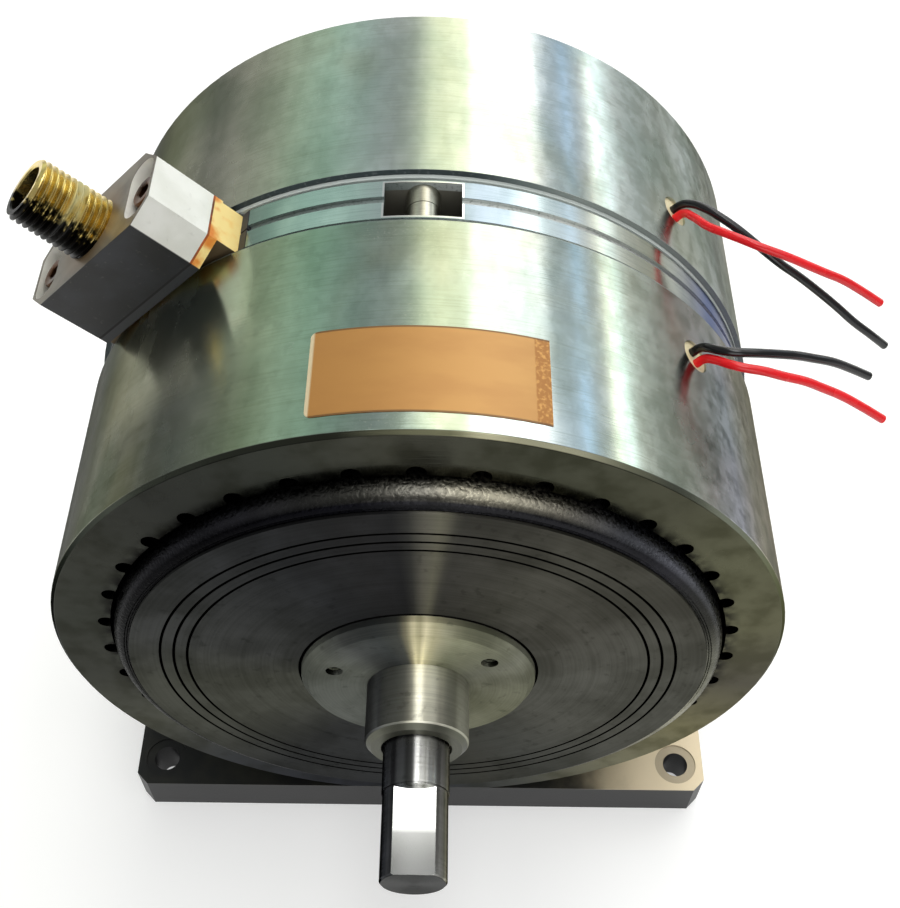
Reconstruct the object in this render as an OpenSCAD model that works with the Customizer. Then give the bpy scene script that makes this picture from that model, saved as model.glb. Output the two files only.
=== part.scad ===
// Air-cooled hysteresis brake: two brake halves back to back on one shaft.
// Origin at the centre of the foot's underside, the shaft along Y with its
// front end at -Y, Z up. Lengths in millimetres.

/* [Case] */
// Outer radius of the round case
case_r = 79; // [76:0.5:86]
// Length of the case over both halves
case_l = 120; // [114:1:134]
// Width of the air ring between the two case halves
ring_w = 14.5; // [13:0.5:18]
// Thickness of the case wall, from the outside to the bore of the outer poles
case_wall = 12.4; // [11.5:0.1:14]
// Chamfer on the outer edge of each case mouth
case_edge = 0.9; // [0.4:0.1:1.6]
// Thickness of the web that closes the inner end of a case half
web_t = 6.9; // [5:0.1:8]
// Depth of the step from the case down to the air ring
ring_step = 1.2; // [0.8:0.1:1.6]

/* [Foot] */
// Thickness of the foot plate
foot_t = 13; // [11:0.5:14]
// Depth of the flat under the case, where it stands on the foot
case_flat = 3; // [2:0.1:4]
// Width of the foot plate
foot_w = 152.4; // [146:0.2:170]
// Chamfer on the foot's upright corners
foot_corner = 3; // [1:0.5:5]
// Radius of the mounting holes
mount_hole_r = 3.3; // [2.6:0.1:4.4]
// Distance of the mounting holes from the sides of the foot
mount_inset_x = 7.35; // [6.5:0.05:12]
// Distance of the mounting holes from the ends of the foot
mount_inset_y = 7.3; // [6.5:0.1:12]
// Radius of the spot face round a mounting hole
spot_r = 5.5; // [5:0.1:6.2]

/* [Poles] */
// Number of poles round the air gap
pole_n = 36; // [30:1:40]
// Radius of the half-round notches between the poles
notch_r = 1.9; // [1.5:0.1:2.2]
// Length of the poles along the shaft
pole_l = 24; // [20:0.5:25]
// Width of each air gap between the rotor wall and a pole
air_gap = 0.9; // [0.6:0.1:1.2]

/* [Rotor] */
// Thickness of the rotor cup's wall
cup_wall = 2.3; // [1.8:0.1:2.8]
// How far the rotor disc stands out of the case
disc_proud = 5.2; // [4.6:0.1:6.5]
// Width of the cup's rim round the rotor disc
rim_w = 3.7; // [3.2:0.1:4.4]
// Thickness of the rotor disc
disc_t = 3.8; // [3:0.1:4.4]
// Distance of the middle one of three turned grooves from the disc's edge
groove_inset = 9.4; // [7:0.1:16]
// Distance from one turned groove to the next
groove_pitch = 2.85; // [2:0.05:4]
// Width of a turned groove
groove_w = 0.5; // [0.3:0.1:0.8]

/* [Hub] */
// Radius of the hub flange
hub_r = 25.3; // [24:0.1:30]
// Thickness of the hub flange
hub_t = 3.4; // [3.2:0.1:4.5]
// Radius of the boss round the shaft
boss_r = 11; // [10:0.1:13]
// Length of the boss over the flange
boss_l = 14.2; // [10:0.1:18]
// Radius of the circle of hub screws
hub_screw_pcr = 19.1; // [17.5:0.1:21]

/* [Shaft] */
// Radius of the shaft's ends
shaft_r = 7; // [6:0.1:7.4]
// Length of the shaft that stands out of each case mouth
shaft_out = 51; // [45:0.5:70]
// Depth of the flat milled on each end
flat_depth = 1.7; // [1:0.1:2.5]
// Length of the flat
flat_l = 18; // [12:0.5:20]
// Radius of the shaft between the bearings
shaft_mid_r = 9; // [8.6:0.1:10]

/* [Bearings] */
// Bore radius of the ball bearings
bearing_in_r = 7.5; // [7.5:0.1:7.8]
// Outer radius of the ball bearings
bearing_out_r = 16; // [16:0.5:18]
// Width of the ball bearings
bearing_w = 9; // [9:0.5:11]
// Radius of the balls
ball_r = 2.38; // [2.2:0.02:2.4]
// Number of balls in a bearing
ball_n = 9; // [7:1:10]

/* [Coils] */
// Radius of the iron core inside the coil
waist_r = 38; // [34:0.5:42]
// Wall thickness of the coil's bobbin
bobbin_t = 1.3; // [1:0.1:2]

/* [Manifold] */
// Angle of the air manifold from the top, round the case
manifold_a = -45; // [-60:1:-35]
// Length of the manifold block along the case's curve
block_l = 42; // [38:0.5:46]
// Width of the manifold block along the shaft
block_w = 21.2; // [19:0.2:24]
// Height of the manifold block
block_h = 14.2; // [12:0.2:18]
// Chamfer on the block's upright corners
block_corner = 4.9; // [3:0.1:5.2]
// Width of the pockets round the manifold screws
pocket_w = 7.8; // [7.4:0.1:8.4]
// Length of the pockets along the shaft
pocket_l = 15.8; // [12:0.2:16]
// Depth of the pockets
pocket_d = 5; // [4.6:0.2:7]
// Distance between the manifold screws
manifold_screw_pitch = 32.8; // [31:0.2:33.2]
// Radius of the air nipple's thread
nipple_r = 6.85; // [6:0.05:7.4]
// Bore radius of the air nipple
nipple_bore_r = 4.9; // [4:0.1:5.2]
// Length of the nipple outside the block
nipple_out = 15.8; // [12:0.2:22]

/* [Leads] */
// Angle of the lead holes from the top, round the case
lead_a = 45; // [40:1:50]
// Radius of the lead holes
lead_hole_r = 3.7; // [3.6:0.1:5]
// Distance of the lead holes from the middle of the case
lead_off = 21.5; // [20:0.5:24]
// Outer diameter of a coil lead
lead_d = 1.9; // [1.6:0.1:2.2]

/* [Hidden] */

// Distances along the shaft for the front half; the rear half is its mirror image
mouth_y = -case_l / 2;
case_end_y = -ring_w / 2;
pilot_w = 1.1;
pilot_y = case_end_y + pilot_w;
ring_r = case_r - ring_step;
pole_bore_r = case_r - case_wall;
axis_h = foot_t + case_r - case_flat;
web_y = pilot_y - web_t;
core_ring_w = 8;
web_bore_r = waist_r - core_ring_w;
eps = 0.01;
over = 1;

// Foot
flat_z = foot_t - axis_h;
mount_x = foot_w / 2 - mount_inset_x;
mount_y = case_l / 2 - mount_inset_y;
spot_depth = 0.3;
foot_screw_r = 2.5;
foot_screw_head_r = 4.25;
foot_screw_head_h = 5;
foot_screw_x = 14;
foot_screw_depth = 6.5;
foot_screw_y = (case_l / 2 + ring_w / 2) / 2;

// Rotor cup and poles
cup_r = pole_bore_r - air_gap;
cup_in_r = cup_r - cup_wall;
disc_r = cup_r - rim_w;
groove_r = disc_r - groove_inset;
cup_lip = disc_proud - 0.6;
disc_fit = 0.1;
seat_lip_w = 2;
seat_lip_t = 2.2;
bevel_w = 2.1;
bevel_l = 2.8;
disc_back_y = mouth_y - disc_proud + disc_t;
disc_front_y = mouth_y - disc_proud;
core_y = mouth_y + 3;
core_r = cup_in_r - air_gap;
core_pole_end = core_y + pole_l;
cup_end_y = core_pole_end - 1;
notch_in = 0.7;
pole_a = 360 / pole_n;

// Bearings
bearing_y = core_y + 3;
bearing_end_y = bearing_y + bearing_w;
ball_pitch_r = (bearing_in_r + bearing_out_r) / 2;
race_r = ball_r + 0.07;
race_gap = 1.5;
cage_t = 1.2;
cage_w = 6.6;
core_bore_r = bearing_out_r - 3;
clip_y = bearing_y;
clip_t = 1.1;
clip_lip = 1.2;
clip_open = 50;
clip_cut = 2 * bearing_out_r;

// Coil between the pole flange and the web
bobbin_fit = 0.2;
coil_y = core_pole_end + bobbin_fit;
coil_end_y = web_y - bobbin_fit;
bobbin_r = pole_bore_r - 0.8;
winding_r = bobbin_r - 1.4;
core_screw_n = 4;
core_screw_pcr = waist_r - core_ring_w / 2;
core_screw_r = 2;
core_screw_head_r = 3.5;
core_screw_head_h = 4;
core_screw_depth = 9;

// Air ring
groove_gap = 0.7;
plenum_wall = 1.3;
ring_depth = 21;
plenum_in_r = case_r - ring_depth;
band_t = 2;
mid_groove = 0.9;
mid_groove_d = 0.8;
window_w = 15.7;
window_a = [0, 120, 240];
window_y = -pilot_y - plenum_wall;
port_r = 2.5;
port_off = 5.2;
port_a = 30;
stud_inset = 4.1;
stud_pcr = ring_r - stud_inset;
stud_r = 2;
spacer_r = 3.5;
stud_depth = 14.75;
stud_l = ring_w + 2 * stud_depth;
joint_gap = 0.1;

// Hub
hub_side = 1.4;
hub_bevel = 1.7;
boss_bevel = 1.4;
boss_recess_l = 1.2;
spigot_r = 12;
spigot_l = 3.4;
nose_r = bearing_in_r + 2;
hub_front_y = disc_front_y - hub_t;
boss_end_y = hub_front_y - boss_l;
hub_screw_a = [-68, 52, 172];
hub_screw_head_r = 1.85;
hub_screw_r = 1.25;
hub_screw_head_h = 1.6;
hub_screw_sink = 0.9;
hub_screw_depth = 3;

// Shaft, relieved a little at its tips and under the bosses, with a round seat between
shaft_tip_y = mouth_y - shaft_out;
tip_edge = 0.4;
relief_w = 0.3;
relief_depth = 0.2;
flat_end_y = shaft_tip_y + flat_l;
seat_y = flat_end_y + relief_w;

// Manifold, in distances from the shaft's axis
adapter_rise = 0.5;
flange_t = 1.9;
gasket_t = 0.5;
flange_rho = case_r + adapter_rise;
gasket_rho = flange_rho + flange_t;
block_rho = gasket_rho + gasket_t;
block_top = block_rho + block_h;
nipple_seat = 8;
nipple_taper = 1 / 32;
air_way_r = 4.2;
notch_depth = 9;
notch_floor = case_r - notch_depth;
tongue_gap = 0.2;
tongue_l = block_l - 2 * tongue_gap;
tongue_inset = 1.75;
tongue_w = ring_w - 2 * tongue_inset;
seal_w = 2.3;
port_notch_l = block_l + 2 * seal_w;
manifold_screw_r = 2;
manifold_head_r = 3.5;
manifold_head_h = 4;
hex_r = 1.7;
hex_depth = 2;
manifold_screw_depth = 7;
seal_gap = 0.25;

// Potting and leads
potting_in = pole_bore_r + 0.3;
potting_top = case_r - 0.596;
lead_sides = 8;

// Routes of the four coil leads, chosen by hand
rear_black_route = [[55.24, 21.9, 144.64], [56.8, 21.9, 146.2], [58.6, 20.8, 147.7],
    [61.5, 18.4, 148.6], [64.5, 16, 148.4], [68, 13.6, 147.4], [71, 11.8, 146],
    [74.5, 10, 144], [78, 8.4, 142], [82.5, 7.4, 139.2], [87, 6.5, 136],
    [92, 5, 132.5], [97, 3.8, 128.5], [101.5, 3.4, 125], [106, 3.6, 121]];
rear_red_route = [[55.64, 19.7, 144.24], [57.2, 19.7, 145.8], [59, 17, 147.3],
    [61.5, 13, 148.4], [65, 10.2, 149], [68.5, 8.2, 149], [72, 6.5, 148.7],
    [76, 5.5, 147.8], [79.5, 5, 146.6], [83, 4.8, 145], [87, 4.8, 143],
    [91.5, 5.2, 140.5], [96.5, 5.5, 137], [102, 5.5, 133]];
front_black_route = [[55.04, -20.6, 144.84], [56.6, -20.6, 146.4], [58, -21.8, 147.8],
    [60, -23.1, 148.6], [62.5, -23.9, 149], [65.5, -23.9, 148.9], [69, -23.4, 148.2],
    [72.5, -22.7, 147.2], [76, -21.9, 146], [80, -20.8, 144], [85, -19.6, 141.5],
    [89.5, -18.6, 138.5], [94.5, -17.7, 135]];
front_red_route = [[55.84, -22.8, 144.04], [57.4, -22.8, 145.6], [59, -24, 146.8],
    [61.5, -26, 147.8], [64, -27, 148], [68.5, -27.5, 147.5], [72.5, -27.6, 146.2],
    [77.5, -27.3, 144.3], [81.5, -27, 142], [86, -26.7, 139.3], [91, -26.8, 136],
    [96.5, -26.9, 132]];

// Roundness of turned surfaces, of holes and of small pins
big_fn = 120;
hole_fn = 32;
pin_fn = 24;

// A solid of revolution about the shaft, from points [radius, y]
module turned(points) {
    translate([0, 0, axis_h]) rotate([-90, 0, 0])
        rotate_extrude($fn = big_fn) polygon(points);
}

// Puts a piece at an angle from the top: its Z runs out from the shaft
module around(a) {
    translate([0, 0, axis_h]) rotate([0, a, 0]) children();
}

// A round bar along Y, from y0 to y1, at a distance from the shaft
module bar(r, y0, y1, rho = 0, fn = hole_fn) {
    translate([0, y0, rho]) rotate([-90, 0, 0]) cylinder(h = y1 - y0, r = r, $fn = fn);
}

// A round bar along Z, from z0 to z1
module post(r, z0, z1, fn = hole_fn) {
    translate([0, 0, z0]) cylinder(h = z1 - z0, r = r, $fn = fn);
}

// The rear copy of a front piece
module mirrored() {
    mirror([0, 1, 0]) children();
}

// Everything below the top of the foot
module below_foot() {
    translate([-case_r, -case_l, foot_t - case_r]) cube([2 * case_r, 2 * case_l, case_r]);
}

module foot_outline() {
    x = foot_w / 2;
    y = case_l / 2;
    c = foot_corner;
    polygon([[x, y - c], [x - c, y], [c - x, y], [-x, y - c],
        [-x, c - y], [c - x, -y], [x - c, -y], [x, c - y]]);
}

module foot_plate() {
    color("#6f6f68")
    difference() {
        linear_extrude(foot_t) foot_outline();
        for (x = [-mount_x, mount_x], y = [-mount_y, mount_y]) translate([x, y, 0]) {
            post(mount_hole_r, -over, foot_t + over);
            post(spot_r, foot_t - spot_depth, foot_t + over);
        }
        for (x = [-foot_screw_x, foot_screw_x], y = [-foot_screw_y, foot_screw_y])
            translate([x, y, 0]) {
                post(foot_screw_r, -over, foot_t + over);
                post(foot_screw_head_r + 0.25, -over, foot_screw_head_h + 0.5);
            }
    }
}

module foot_screws() {
    seat = foot_screw_head_h + 0.5;
    color("#3a3b3d")
    for (x = [-foot_screw_x, foot_screw_x], y = [-foot_screw_y, foot_screw_y])
        translate([x, y, 0]) difference() {
            union() {
                post(foot_screw_r, seat - eps, foot_t + foot_screw_depth);
                post(foot_screw_head_r, seat - foot_screw_head_h, seat);
            }
            translate([0, 0, seat - foot_screw_head_h - over])
                cylinder(h = 2.5 + over, r = 2.3, $fn = 6);
        }
}

// Half of the case: the outer poles in its bore, a web at its inner end
module case_half() {
    difference() {
        turned([[pole_bore_r, mouth_y], [case_r - case_edge, mouth_y],
            [case_r, mouth_y + case_edge], [case_r, case_end_y], [ring_r, case_end_y],
            [ring_r, pilot_y], [web_bore_r, pilot_y], [web_bore_r, web_y],
            [pole_bore_r, web_y]]);
        for (i = [0 : pole_n - 1]) around(i * pole_a)
            bar(notch_r, mouth_y - over, core_pole_end, pole_bore_r + notch_in);
        below_foot();
        for (x = [-foot_screw_x, foot_screw_x])
            translate([x, -foot_screw_y, 0])
                post(foot_screw_r, foot_t - over, foot_t + foot_screw_depth);
        for (a = window_a) around(a) bar(stud_r, -stud_l / 2, 0, stud_pcr);
        for (i = [0 : core_screw_n - 1]) around(45 + i * 360 / core_screw_n)
            bar(core_screw_r, web_y - over, 0, core_screw_pcr);
        around(lead_a) translate([0, -lead_off, 0]) post(lead_hole_r, pole_bore_r - 2 * over,
            case_r + over);
    }
}

module case_front() { color("#8f9680") case_half(); }
module case_rear() { color("#8f9680") mirrored() case_half(); }

// Half of the channel that the cooling air enters, between the case halves
module plenum_half() {
    lip = pilot_y + groove_gap;
    difference() {
        turned([[plenum_in_r, pilot_y], [ring_r - mid_groove_d, pilot_y],
            [ring_r - mid_groove_d, lip], [ring_r, lip], [ring_r, -mid_groove],
            [ring_r - mid_groove_d, -mid_groove], [ring_r - mid_groove_d, 0],
            [ring_r - band_t, 0], [ring_r - band_t, -window_y], [plenum_in_r + band_t, -window_y],
            [plenum_in_r + band_t, 0], [plenum_in_r, 0]]);
        for (a = window_a) around(a) {
            translate([-window_w / 2, -window_y, ring_r - band_t - over])
                cube([window_w, ring_w, band_t + 2 * over]);
            bar(stud_r, pilot_y - over, 0, stud_pcr);
        }
        for (i = [0 : port_a : 360 - port_a], s = [-port_off, port_off]) around(i)
            translate([s, 0, 0]) post(port_r, plenum_in_r - 2 * over, plenum_in_r + band_t + over);
        around(manifold_a) translate([-port_notch_l / 2, -ring_w / 2, notch_floor])
            cube([port_notch_l, ring_w, case_r]);
        below_foot();
    }
}

module plenum_front() { color("#9fb0a4") plenum_half(); }
module plenum_rear() { color("#9fb0a4") mirrored() plenum_half(); }

module tie_studs() {
    color("#77787a") for (a = window_a) around(a) bar(stud_r, -stud_l / 2, stud_l / 2, stud_pcr);
}

module tie_spacers() {
    color("#c9c2ae")
    for (a = window_a, s = [0, 1]) around(a) mirror([0, s, 0]) difference() {
        bar(spacer_r, -window_y, -joint_gap, stud_pcr);
        bar(stud_r, -window_y - over, 0, stud_pcr);
    }
}

// Inner poles on a waisted core that carries the bearing and the coil
module core_half() {
    difference() {
        turned([[core_bore_r, bearing_end_y], [bearing_out_r, bearing_end_y],
            [bearing_out_r, clip_y], [bearing_out_r + clip_lip, clip_y],
            [bearing_out_r + clip_lip, clip_y - clip_t], [bearing_out_r, clip_y - clip_t],
            [bearing_out_r, core_y], [core_r, core_y], [core_r, core_pole_end],
            [waist_r, core_pole_end], [waist_r, web_y], [web_bore_r, web_y],
            [web_bore_r, pilot_y], [core_bore_r, pilot_y]]);
        for (i = [0 : pole_n - 1]) around((i + 0.5) * pole_a)
            bar(notch_r, core_y - over, core_pole_end + eps, core_r - notch_in);
        for (i = [0 : core_screw_n - 1]) around(45 + i * 360 / core_screw_n)
            bar(core_screw_r, web_y - core_screw_depth, web_y + over, core_screw_pcr);
    }
}

module core_front() { color("#7d7f7c") core_half(); }
module core_rear() { color("#7d7f7c") mirrored() core_half(); }

module core_screws() {
    color("#3a3b3d")
    for (i = [0 : core_screw_n - 1], s = [0, 1])
        around(45 + i * 360 / core_screw_n) mirror([0, s, 0]) {
            bar(core_screw_r, web_y - core_screw_depth, pilot_y + eps, core_screw_pcr, pin_fn);
            bar(core_screw_head_r, pilot_y, pilot_y + core_screw_head_h, core_screw_pcr);
        }
}

module bobbin_half() {
    turned([[waist_r + bobbin_fit, coil_y], [bobbin_r, coil_y], [bobbin_r, coil_y + bobbin_t],
        [waist_r + bobbin_fit + bobbin_t, coil_y + bobbin_t],
        [waist_r + bobbin_fit + bobbin_t, coil_end_y - bobbin_t],
        [bobbin_r, coil_end_y - bobbin_t], [bobbin_r, coil_end_y],
        [waist_r + bobbin_fit, coil_end_y]]);
}

module bobbin_front() { color("#2b2b2e") bobbin_half(); }
module bobbin_rear() { color("#2b2b2e") mirrored() bobbin_half(); }

module winding_half() {
    turned([[waist_r + bobbin_fit + bobbin_t, coil_y + bobbin_t],
        [winding_r, coil_y + bobbin_t], [winding_r, coil_end_y - bobbin_t],
        [waist_r + bobbin_fit + bobbin_t, coil_end_y - bobbin_t]]);
}

module winding_front() { color("#b06a35") winding_half(); }
module winding_rear() { color("#b06a35") mirrored() winding_half(); }

// The ball track that is turned into both bearing rings
module race() {
    translate([0, (bearing_y + bearing_end_y) / 2, axis_h]) rotate([-90, 0, 0])
        rotate_extrude($fn = big_fn) translate([ball_pitch_r, 0]) circle(race_r, $fn = hole_fn);
}

module bearing_ring(r0, r1) {
    difference() {
        turned([[r0, bearing_y], [r1, bearing_y], [r1, bearing_end_y], [r0, bearing_end_y]]);
        race();
    }
}

module bearing_outer_front() {
    color("#b9bbbd") bearing_ring(ball_pitch_r + race_gap, bearing_out_r);
}
module bearing_outer_rear() { mirrored() bearing_outer_front(); }
module bearing_inner_front() {
    color("#b9bbbd") bearing_ring(bearing_in_r, ball_pitch_r - race_gap);
}
module bearing_inner_rear() { mirrored() bearing_inner_front(); }

module ball_set(r) {
    for (i = [0 : ball_n - 1]) around(i * 360 / ball_n)
        translate([0, (bearing_y + bearing_end_y) / 2, ball_pitch_r]) sphere(r, $fn = hole_fn);
}

module balls_front() { color("#d7d9db") ball_set(ball_r); }
module balls_rear() { mirrored() balls_front(); }

module cage_front() {
    mid = (bearing_y + bearing_end_y) / 2;
    r0 = ball_pitch_r - cage_t / 2;
    r1 = ball_pitch_r + cage_t / 2;
    color("#b08d4a")
    difference() {
        turned([[r0, mid - cage_w / 2], [r1, mid - cage_w / 2], [r1, mid + cage_w / 2],
            [r0, mid + cage_w / 2]]);
        ball_set(ball_r + 0.12);
    }
}
module cage_rear() { mirrored() cage_front(); }

// Open spring rings that hold the bearings in the cores
module circlips() {
    color("#4a4b4d")
    for (s = [0, 1]) mirror([0, s, 0]) difference() {
        turned([[bearing_out_r - clip_lip, clip_y - clip_t],
            [bearing_out_r + clip_lip - 0.1, clip_y - clip_t],
            [bearing_out_r + clip_lip - 0.1, clip_y], [bearing_out_r - clip_lip, clip_y]]);
        around(180) translate([0, clip_y - clip_t - over, 0]) rotate([-90, 0, 0])
            linear_extrude(clip_t + 2 * over)
                polygon([[0, 0], [-clip_cut * tan(clip_open / 4), -clip_cut],
                    [clip_cut * tan(clip_open / 4), -clip_cut]]);
    }
}

module shaft() {
    flat_h = shaft_r - flat_depth;
    relief_r = shaft_r - relief_depth;
    front = [[0, shaft_tip_y], [relief_r - tip_edge, shaft_tip_y],
        [relief_r, shaft_tip_y + tip_edge], [relief_r, seat_y], [shaft_r, seat_y],
        [shaft_r, boss_end_y - relief_w], [relief_r, boss_end_y - relief_w],
        [relief_r, boss_end_y + boss_recess_l],
        [bearing_in_r, boss_end_y + boss_recess_l], [bearing_in_r, bearing_end_y],
        [shaft_mid_r, bearing_end_y]];
    rear = [for (i = [len(front) - 1 : -1 : 0]) [front[i][0], -front[i][1]]];
    color("#a9abac")
    difference() {
        turned(concat(front, rear));
        for (s = [0, 1]) mirror([0, s, 0])
            translate([-shaft_r, shaft_tip_y - over, axis_h + flat_h])
                cube([2 * shaft_r, over + flat_l, shaft_r]);
    }
}

// Thin-walled cup of magnet steel that runs in the air gap
module cup_half() {
    lip_y = mouth_y - cup_lip;
    turned([[cup_r, cup_end_y], [cup_r, lip_y + bevel_l], [cup_r - bevel_w, lip_y],
        [disc_r + disc_fit, lip_y], [disc_r + disc_fit, disc_back_y],
        [disc_r - seat_lip_w, disc_back_y], [disc_r - seat_lip_w, disc_back_y + seat_lip_t],
        [cup_in_r, disc_back_y + seat_lip_t], [cup_in_r, cup_end_y]]);
}

module cup_front() { color("#1d1e21") cup_half(); }
module cup_rear() { color("#1d1e21") mirrored() cup_half(); }

module disc_half() {
    difference() {
        turned([[spigot_r, disc_front_y], [disc_r, disc_front_y], [disc_r, disc_back_y],
            [spigot_r, disc_back_y]]);
        for (i = [-1 : 1]) {
            r = groove_r + i * groove_pitch;
            turned([[r - groove_w / 2, disc_front_y - over], [r + groove_w / 2, disc_front_y - over],
                [r + groove_w / 2, disc_front_y + 0.4], [r - groove_w / 2, disc_front_y + 0.4]]);
        }
        for (a = hub_screw_a) around(a)
            bar(hub_screw_r, disc_front_y - over, disc_front_y + hub_screw_depth, hub_screw_pcr,
                pin_fn);
    }
}

module disc_front() { color("#5d5e5c") disc_half(); }
module disc_rear() { color("#5d5e5c") mirrored() disc_half(); }

module hub_half() {
    difference() {
        turned([[bearing_in_r, bearing_y], [nose_r, bearing_y], [nose_r, disc_back_y + spigot_l],
            [spigot_r, disc_back_y + spigot_l], [spigot_r, disc_front_y], [hub_r, disc_front_y],
            [hub_r, disc_front_y - hub_side], [hub_r - hub_bevel, hub_front_y],
            [boss_r, hub_front_y], [boss_r, boss_end_y + boss_bevel],
            [boss_r - boss_bevel, boss_end_y], [bearing_in_r, boss_end_y]]);
        for (a = hub_screw_a) around(a)
            bar(hub_screw_head_r, hub_front_y - over, disc_front_y + eps, hub_screw_pcr, pin_fn);
    }
}

module hub_front() { color("#9a9a88") hub_half(); }
module hub_rear() { color("#9a9a88") mirrored() hub_half(); }

module hub_screws() {
    head_y = hub_front_y + hub_screw_sink;
    color("#3a3b3d")
    for (a = hub_screw_a, s = [0, 1]) mirror([0, s, 0]) around(a) {
        bar(hub_screw_head_r, head_y, head_y + hub_screw_head_h, hub_screw_pcr, pin_fn);
        bar(hub_screw_r, head_y, disc_front_y + hub_screw_depth, hub_screw_pcr, pin_fn);
    }
}

// Plan of the manifold block, its gasket and the adapter's flange
module block_outline() {
    x = block_l / 2;
    y = block_w / 2;
    c = block_corner;
    polygon([[x, y - c], [x - c, y], [c - x, y], [-x, y - c],
        [-x, c - y], [c - x, -y], [x - c, -y], [x, c - y]]);
}

module slab(z0, z1) {
    translate([0, 0, z0]) linear_extrude(z1 - z0) children();
}

// Both manifold screws, or the holes for them
module screw_pair(r, z0, z1, fn = hole_fn) {
    for (s = [-1, 1]) translate([s * manifold_screw_pitch / 2, 0, 0]) post(r, z0, z1, fn);
}

module pocket() {
    run = pocket_l - pocket_w;
    slab(block_top - pocket_d, block_top + over) union() {
        square([pocket_w, run], center = true);
        for (s = [-1, 1]) translate([0, s * run / 2]) circle(pocket_w / 2, $fn = hole_fn);
    }
}

module manifold_block() {
    color("#d5d4cc")
    around(manifold_a) difference() {
        slab(block_rho, block_top) block_outline();
        post(nipple_r, block_top - nipple_seat, block_top + over);
        post(air_way_r, block_rho - over, block_top);
        screw_pair(manifold_screw_r, block_rho - over, block_top);
        for (s = [-1, 1]) translate([s * manifold_screw_pitch / 2, 0, 0]) pocket();
    }
}

module manifold_gasket() {
    color("#9a5a2c")
    around(manifold_a) difference() {
        slab(gasket_rho, block_rho) block_outline();
        post(air_way_r, gasket_rho - over, block_rho + over);
        screw_pair(manifold_screw_r, gasket_rho - over, block_rho + over);
    }
}

// The foot of the manifold: a flange over the case and a tongue into the air ring
module manifold_adapter() {
    color("#e6d9a8")
    around(manifold_a) difference() {
        union() {
            slab(flange_rho, gasket_rho) block_outline();
            slab(notch_floor, flange_rho + eps) square([tongue_l, tongue_w], center = true);
        }
        post(air_way_r, notch_floor - over, gasket_rho + over);
        screw_pair(manifold_screw_r, gasket_rho - manifold_screw_depth, gasket_rho + over);
    }
}

// Rubber strips that close the ends of the slot in the air ring
module port_seals() {
    x0 = tongue_l / 2 + tongue_gap;
    x1 = port_notch_l / 2 - tongue_gap;
    color("#3c3d40")
    around(manifold_a)
    for (s = [-1, 1], t = [-1, 1]) scale([s, t, 1])
        translate([x0, seal_gap, notch_floor])
            cube([x1 - x0, tongue_w / 2 - seal_gap, sqrt(pow(ring_r, 2) - pow(x1, 2)) - notch_floor]);
}

module air_nipple() {
    tip = block_top + nipple_out;
    color("#b08a3a")
    around(manifold_a) difference() {
        union() {
            post(nipple_r, block_top - nipple_seat, block_top);
            translate([0, 0, block_top - eps])
                cylinder(h = nipple_out + eps, r1 = nipple_r, r2 = nipple_r - nipple_out * nipple_taper,
                    $fn = hole_fn);
        }
        post(nipple_bore_r, block_top - nipple_seat - over, tip + over);
    }
}

module manifold_screws() {
    seat = block_top - pocket_d;
    color("#5a4c40")
    around(manifold_a) difference() {
        union() {
            screw_pair(manifold_screw_r, gasket_rho - manifold_screw_depth, seat + eps, pin_fn);
            screw_pair(manifold_head_r, seat, seat + manifold_head_h);
        }
        screw_pair(hex_r, seat + manifold_head_h - hex_depth, seat + manifold_head_h + over, 6);
    }
}

module potting_half() {
    around(lead_a) translate([0, -lead_off, 0]) post(lead_hole_r, potting_in, potting_top);
}

module potting_front() { color("#d8cfb2") potting_half(); }
module potting_rear() { color("#d8cfb2") mirrored() potting_half(); }

// A tube swept along a route: rings of points, joined side by side
function unit(v) = v / norm(v);
function tangent(p, i) =
    unit((i < len(p) - 1 ? unit(p[i + 1] - p[i]) : [0, 0, 0])
        + (i > 0 ? unit(p[i] - p[i - 1]) : [0, 0, 0]));
function side_of(t) = unit(cross([0, 1, 0], t));
function ring(p, i, r) =
    let (t = tangent(p, i), u = side_of(t), v = cross(t, u))
    [for (k = [0 : lead_sides - 1])
        p[i] + r * (cos(k * 360 / lead_sides) * u + sin(k * 360 / lead_sides) * v)];

module lead(p) {
    n = lead_sides;
    rings = len(p);
    points = [for (i = [0 : rings - 1]) each ring(p, i, lead_d / 2)];
    walls = [for (i = [0 : rings - 2], k = [0 : n - 1])
        [i * n + k, i * n + (k + 1) % n, (i + 1) * n + (k + 1) % n, (i + 1) * n + k]];
    start = [for (k = [n - 1 : -1 : 0]) k];
    end = [for (k = [0 : n - 1]) (rings - 1) * n + k];
    polyhedron(points, concat([start], walls, [end]));
}

module lead_front_black() { color("#1b1a1c") lead(front_black_route); }
module lead_front_red() { color("#a5201c") lead(front_red_route); }
module lead_rear_black() { color("#1b1a1c") lead(rear_black_route); }
module lead_rear_red() { color("#a5201c") lead(rear_red_route); }

foot_plate();
foot_screws();
case_front();
case_rear();
plenum_front();
plenum_rear();
tie_studs();
tie_spacers();
core_front();
core_rear();
core_screws();
bobbin_front();
bobbin_rear();
winding_front();
winding_rear();
bearing_outer_front();
bearing_outer_rear();
bearing_inner_front();
bearing_inner_rear();
balls_front();
balls_rear();
cage_front();
cage_rear();
circlips();
shaft();
cup_front();
cup_rear();
disc_front();
disc_rear();
hub_front();
hub_rear();
hub_screws();
manifold_block();
manifold_gasket();
manifold_adapter();
port_seals();
air_nipple();
manifold_screws();
potting_front();
potting_rear();
lead_front_black();
lead_front_red();
lead_rear_black();
lead_rear_red();
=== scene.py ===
import bmesh
import bpy
from functools import partial
from math import ceil, cos, pi, radians, sin, tau
from mathutils import Matrix, Vector
from types import SimpleNamespace


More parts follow.
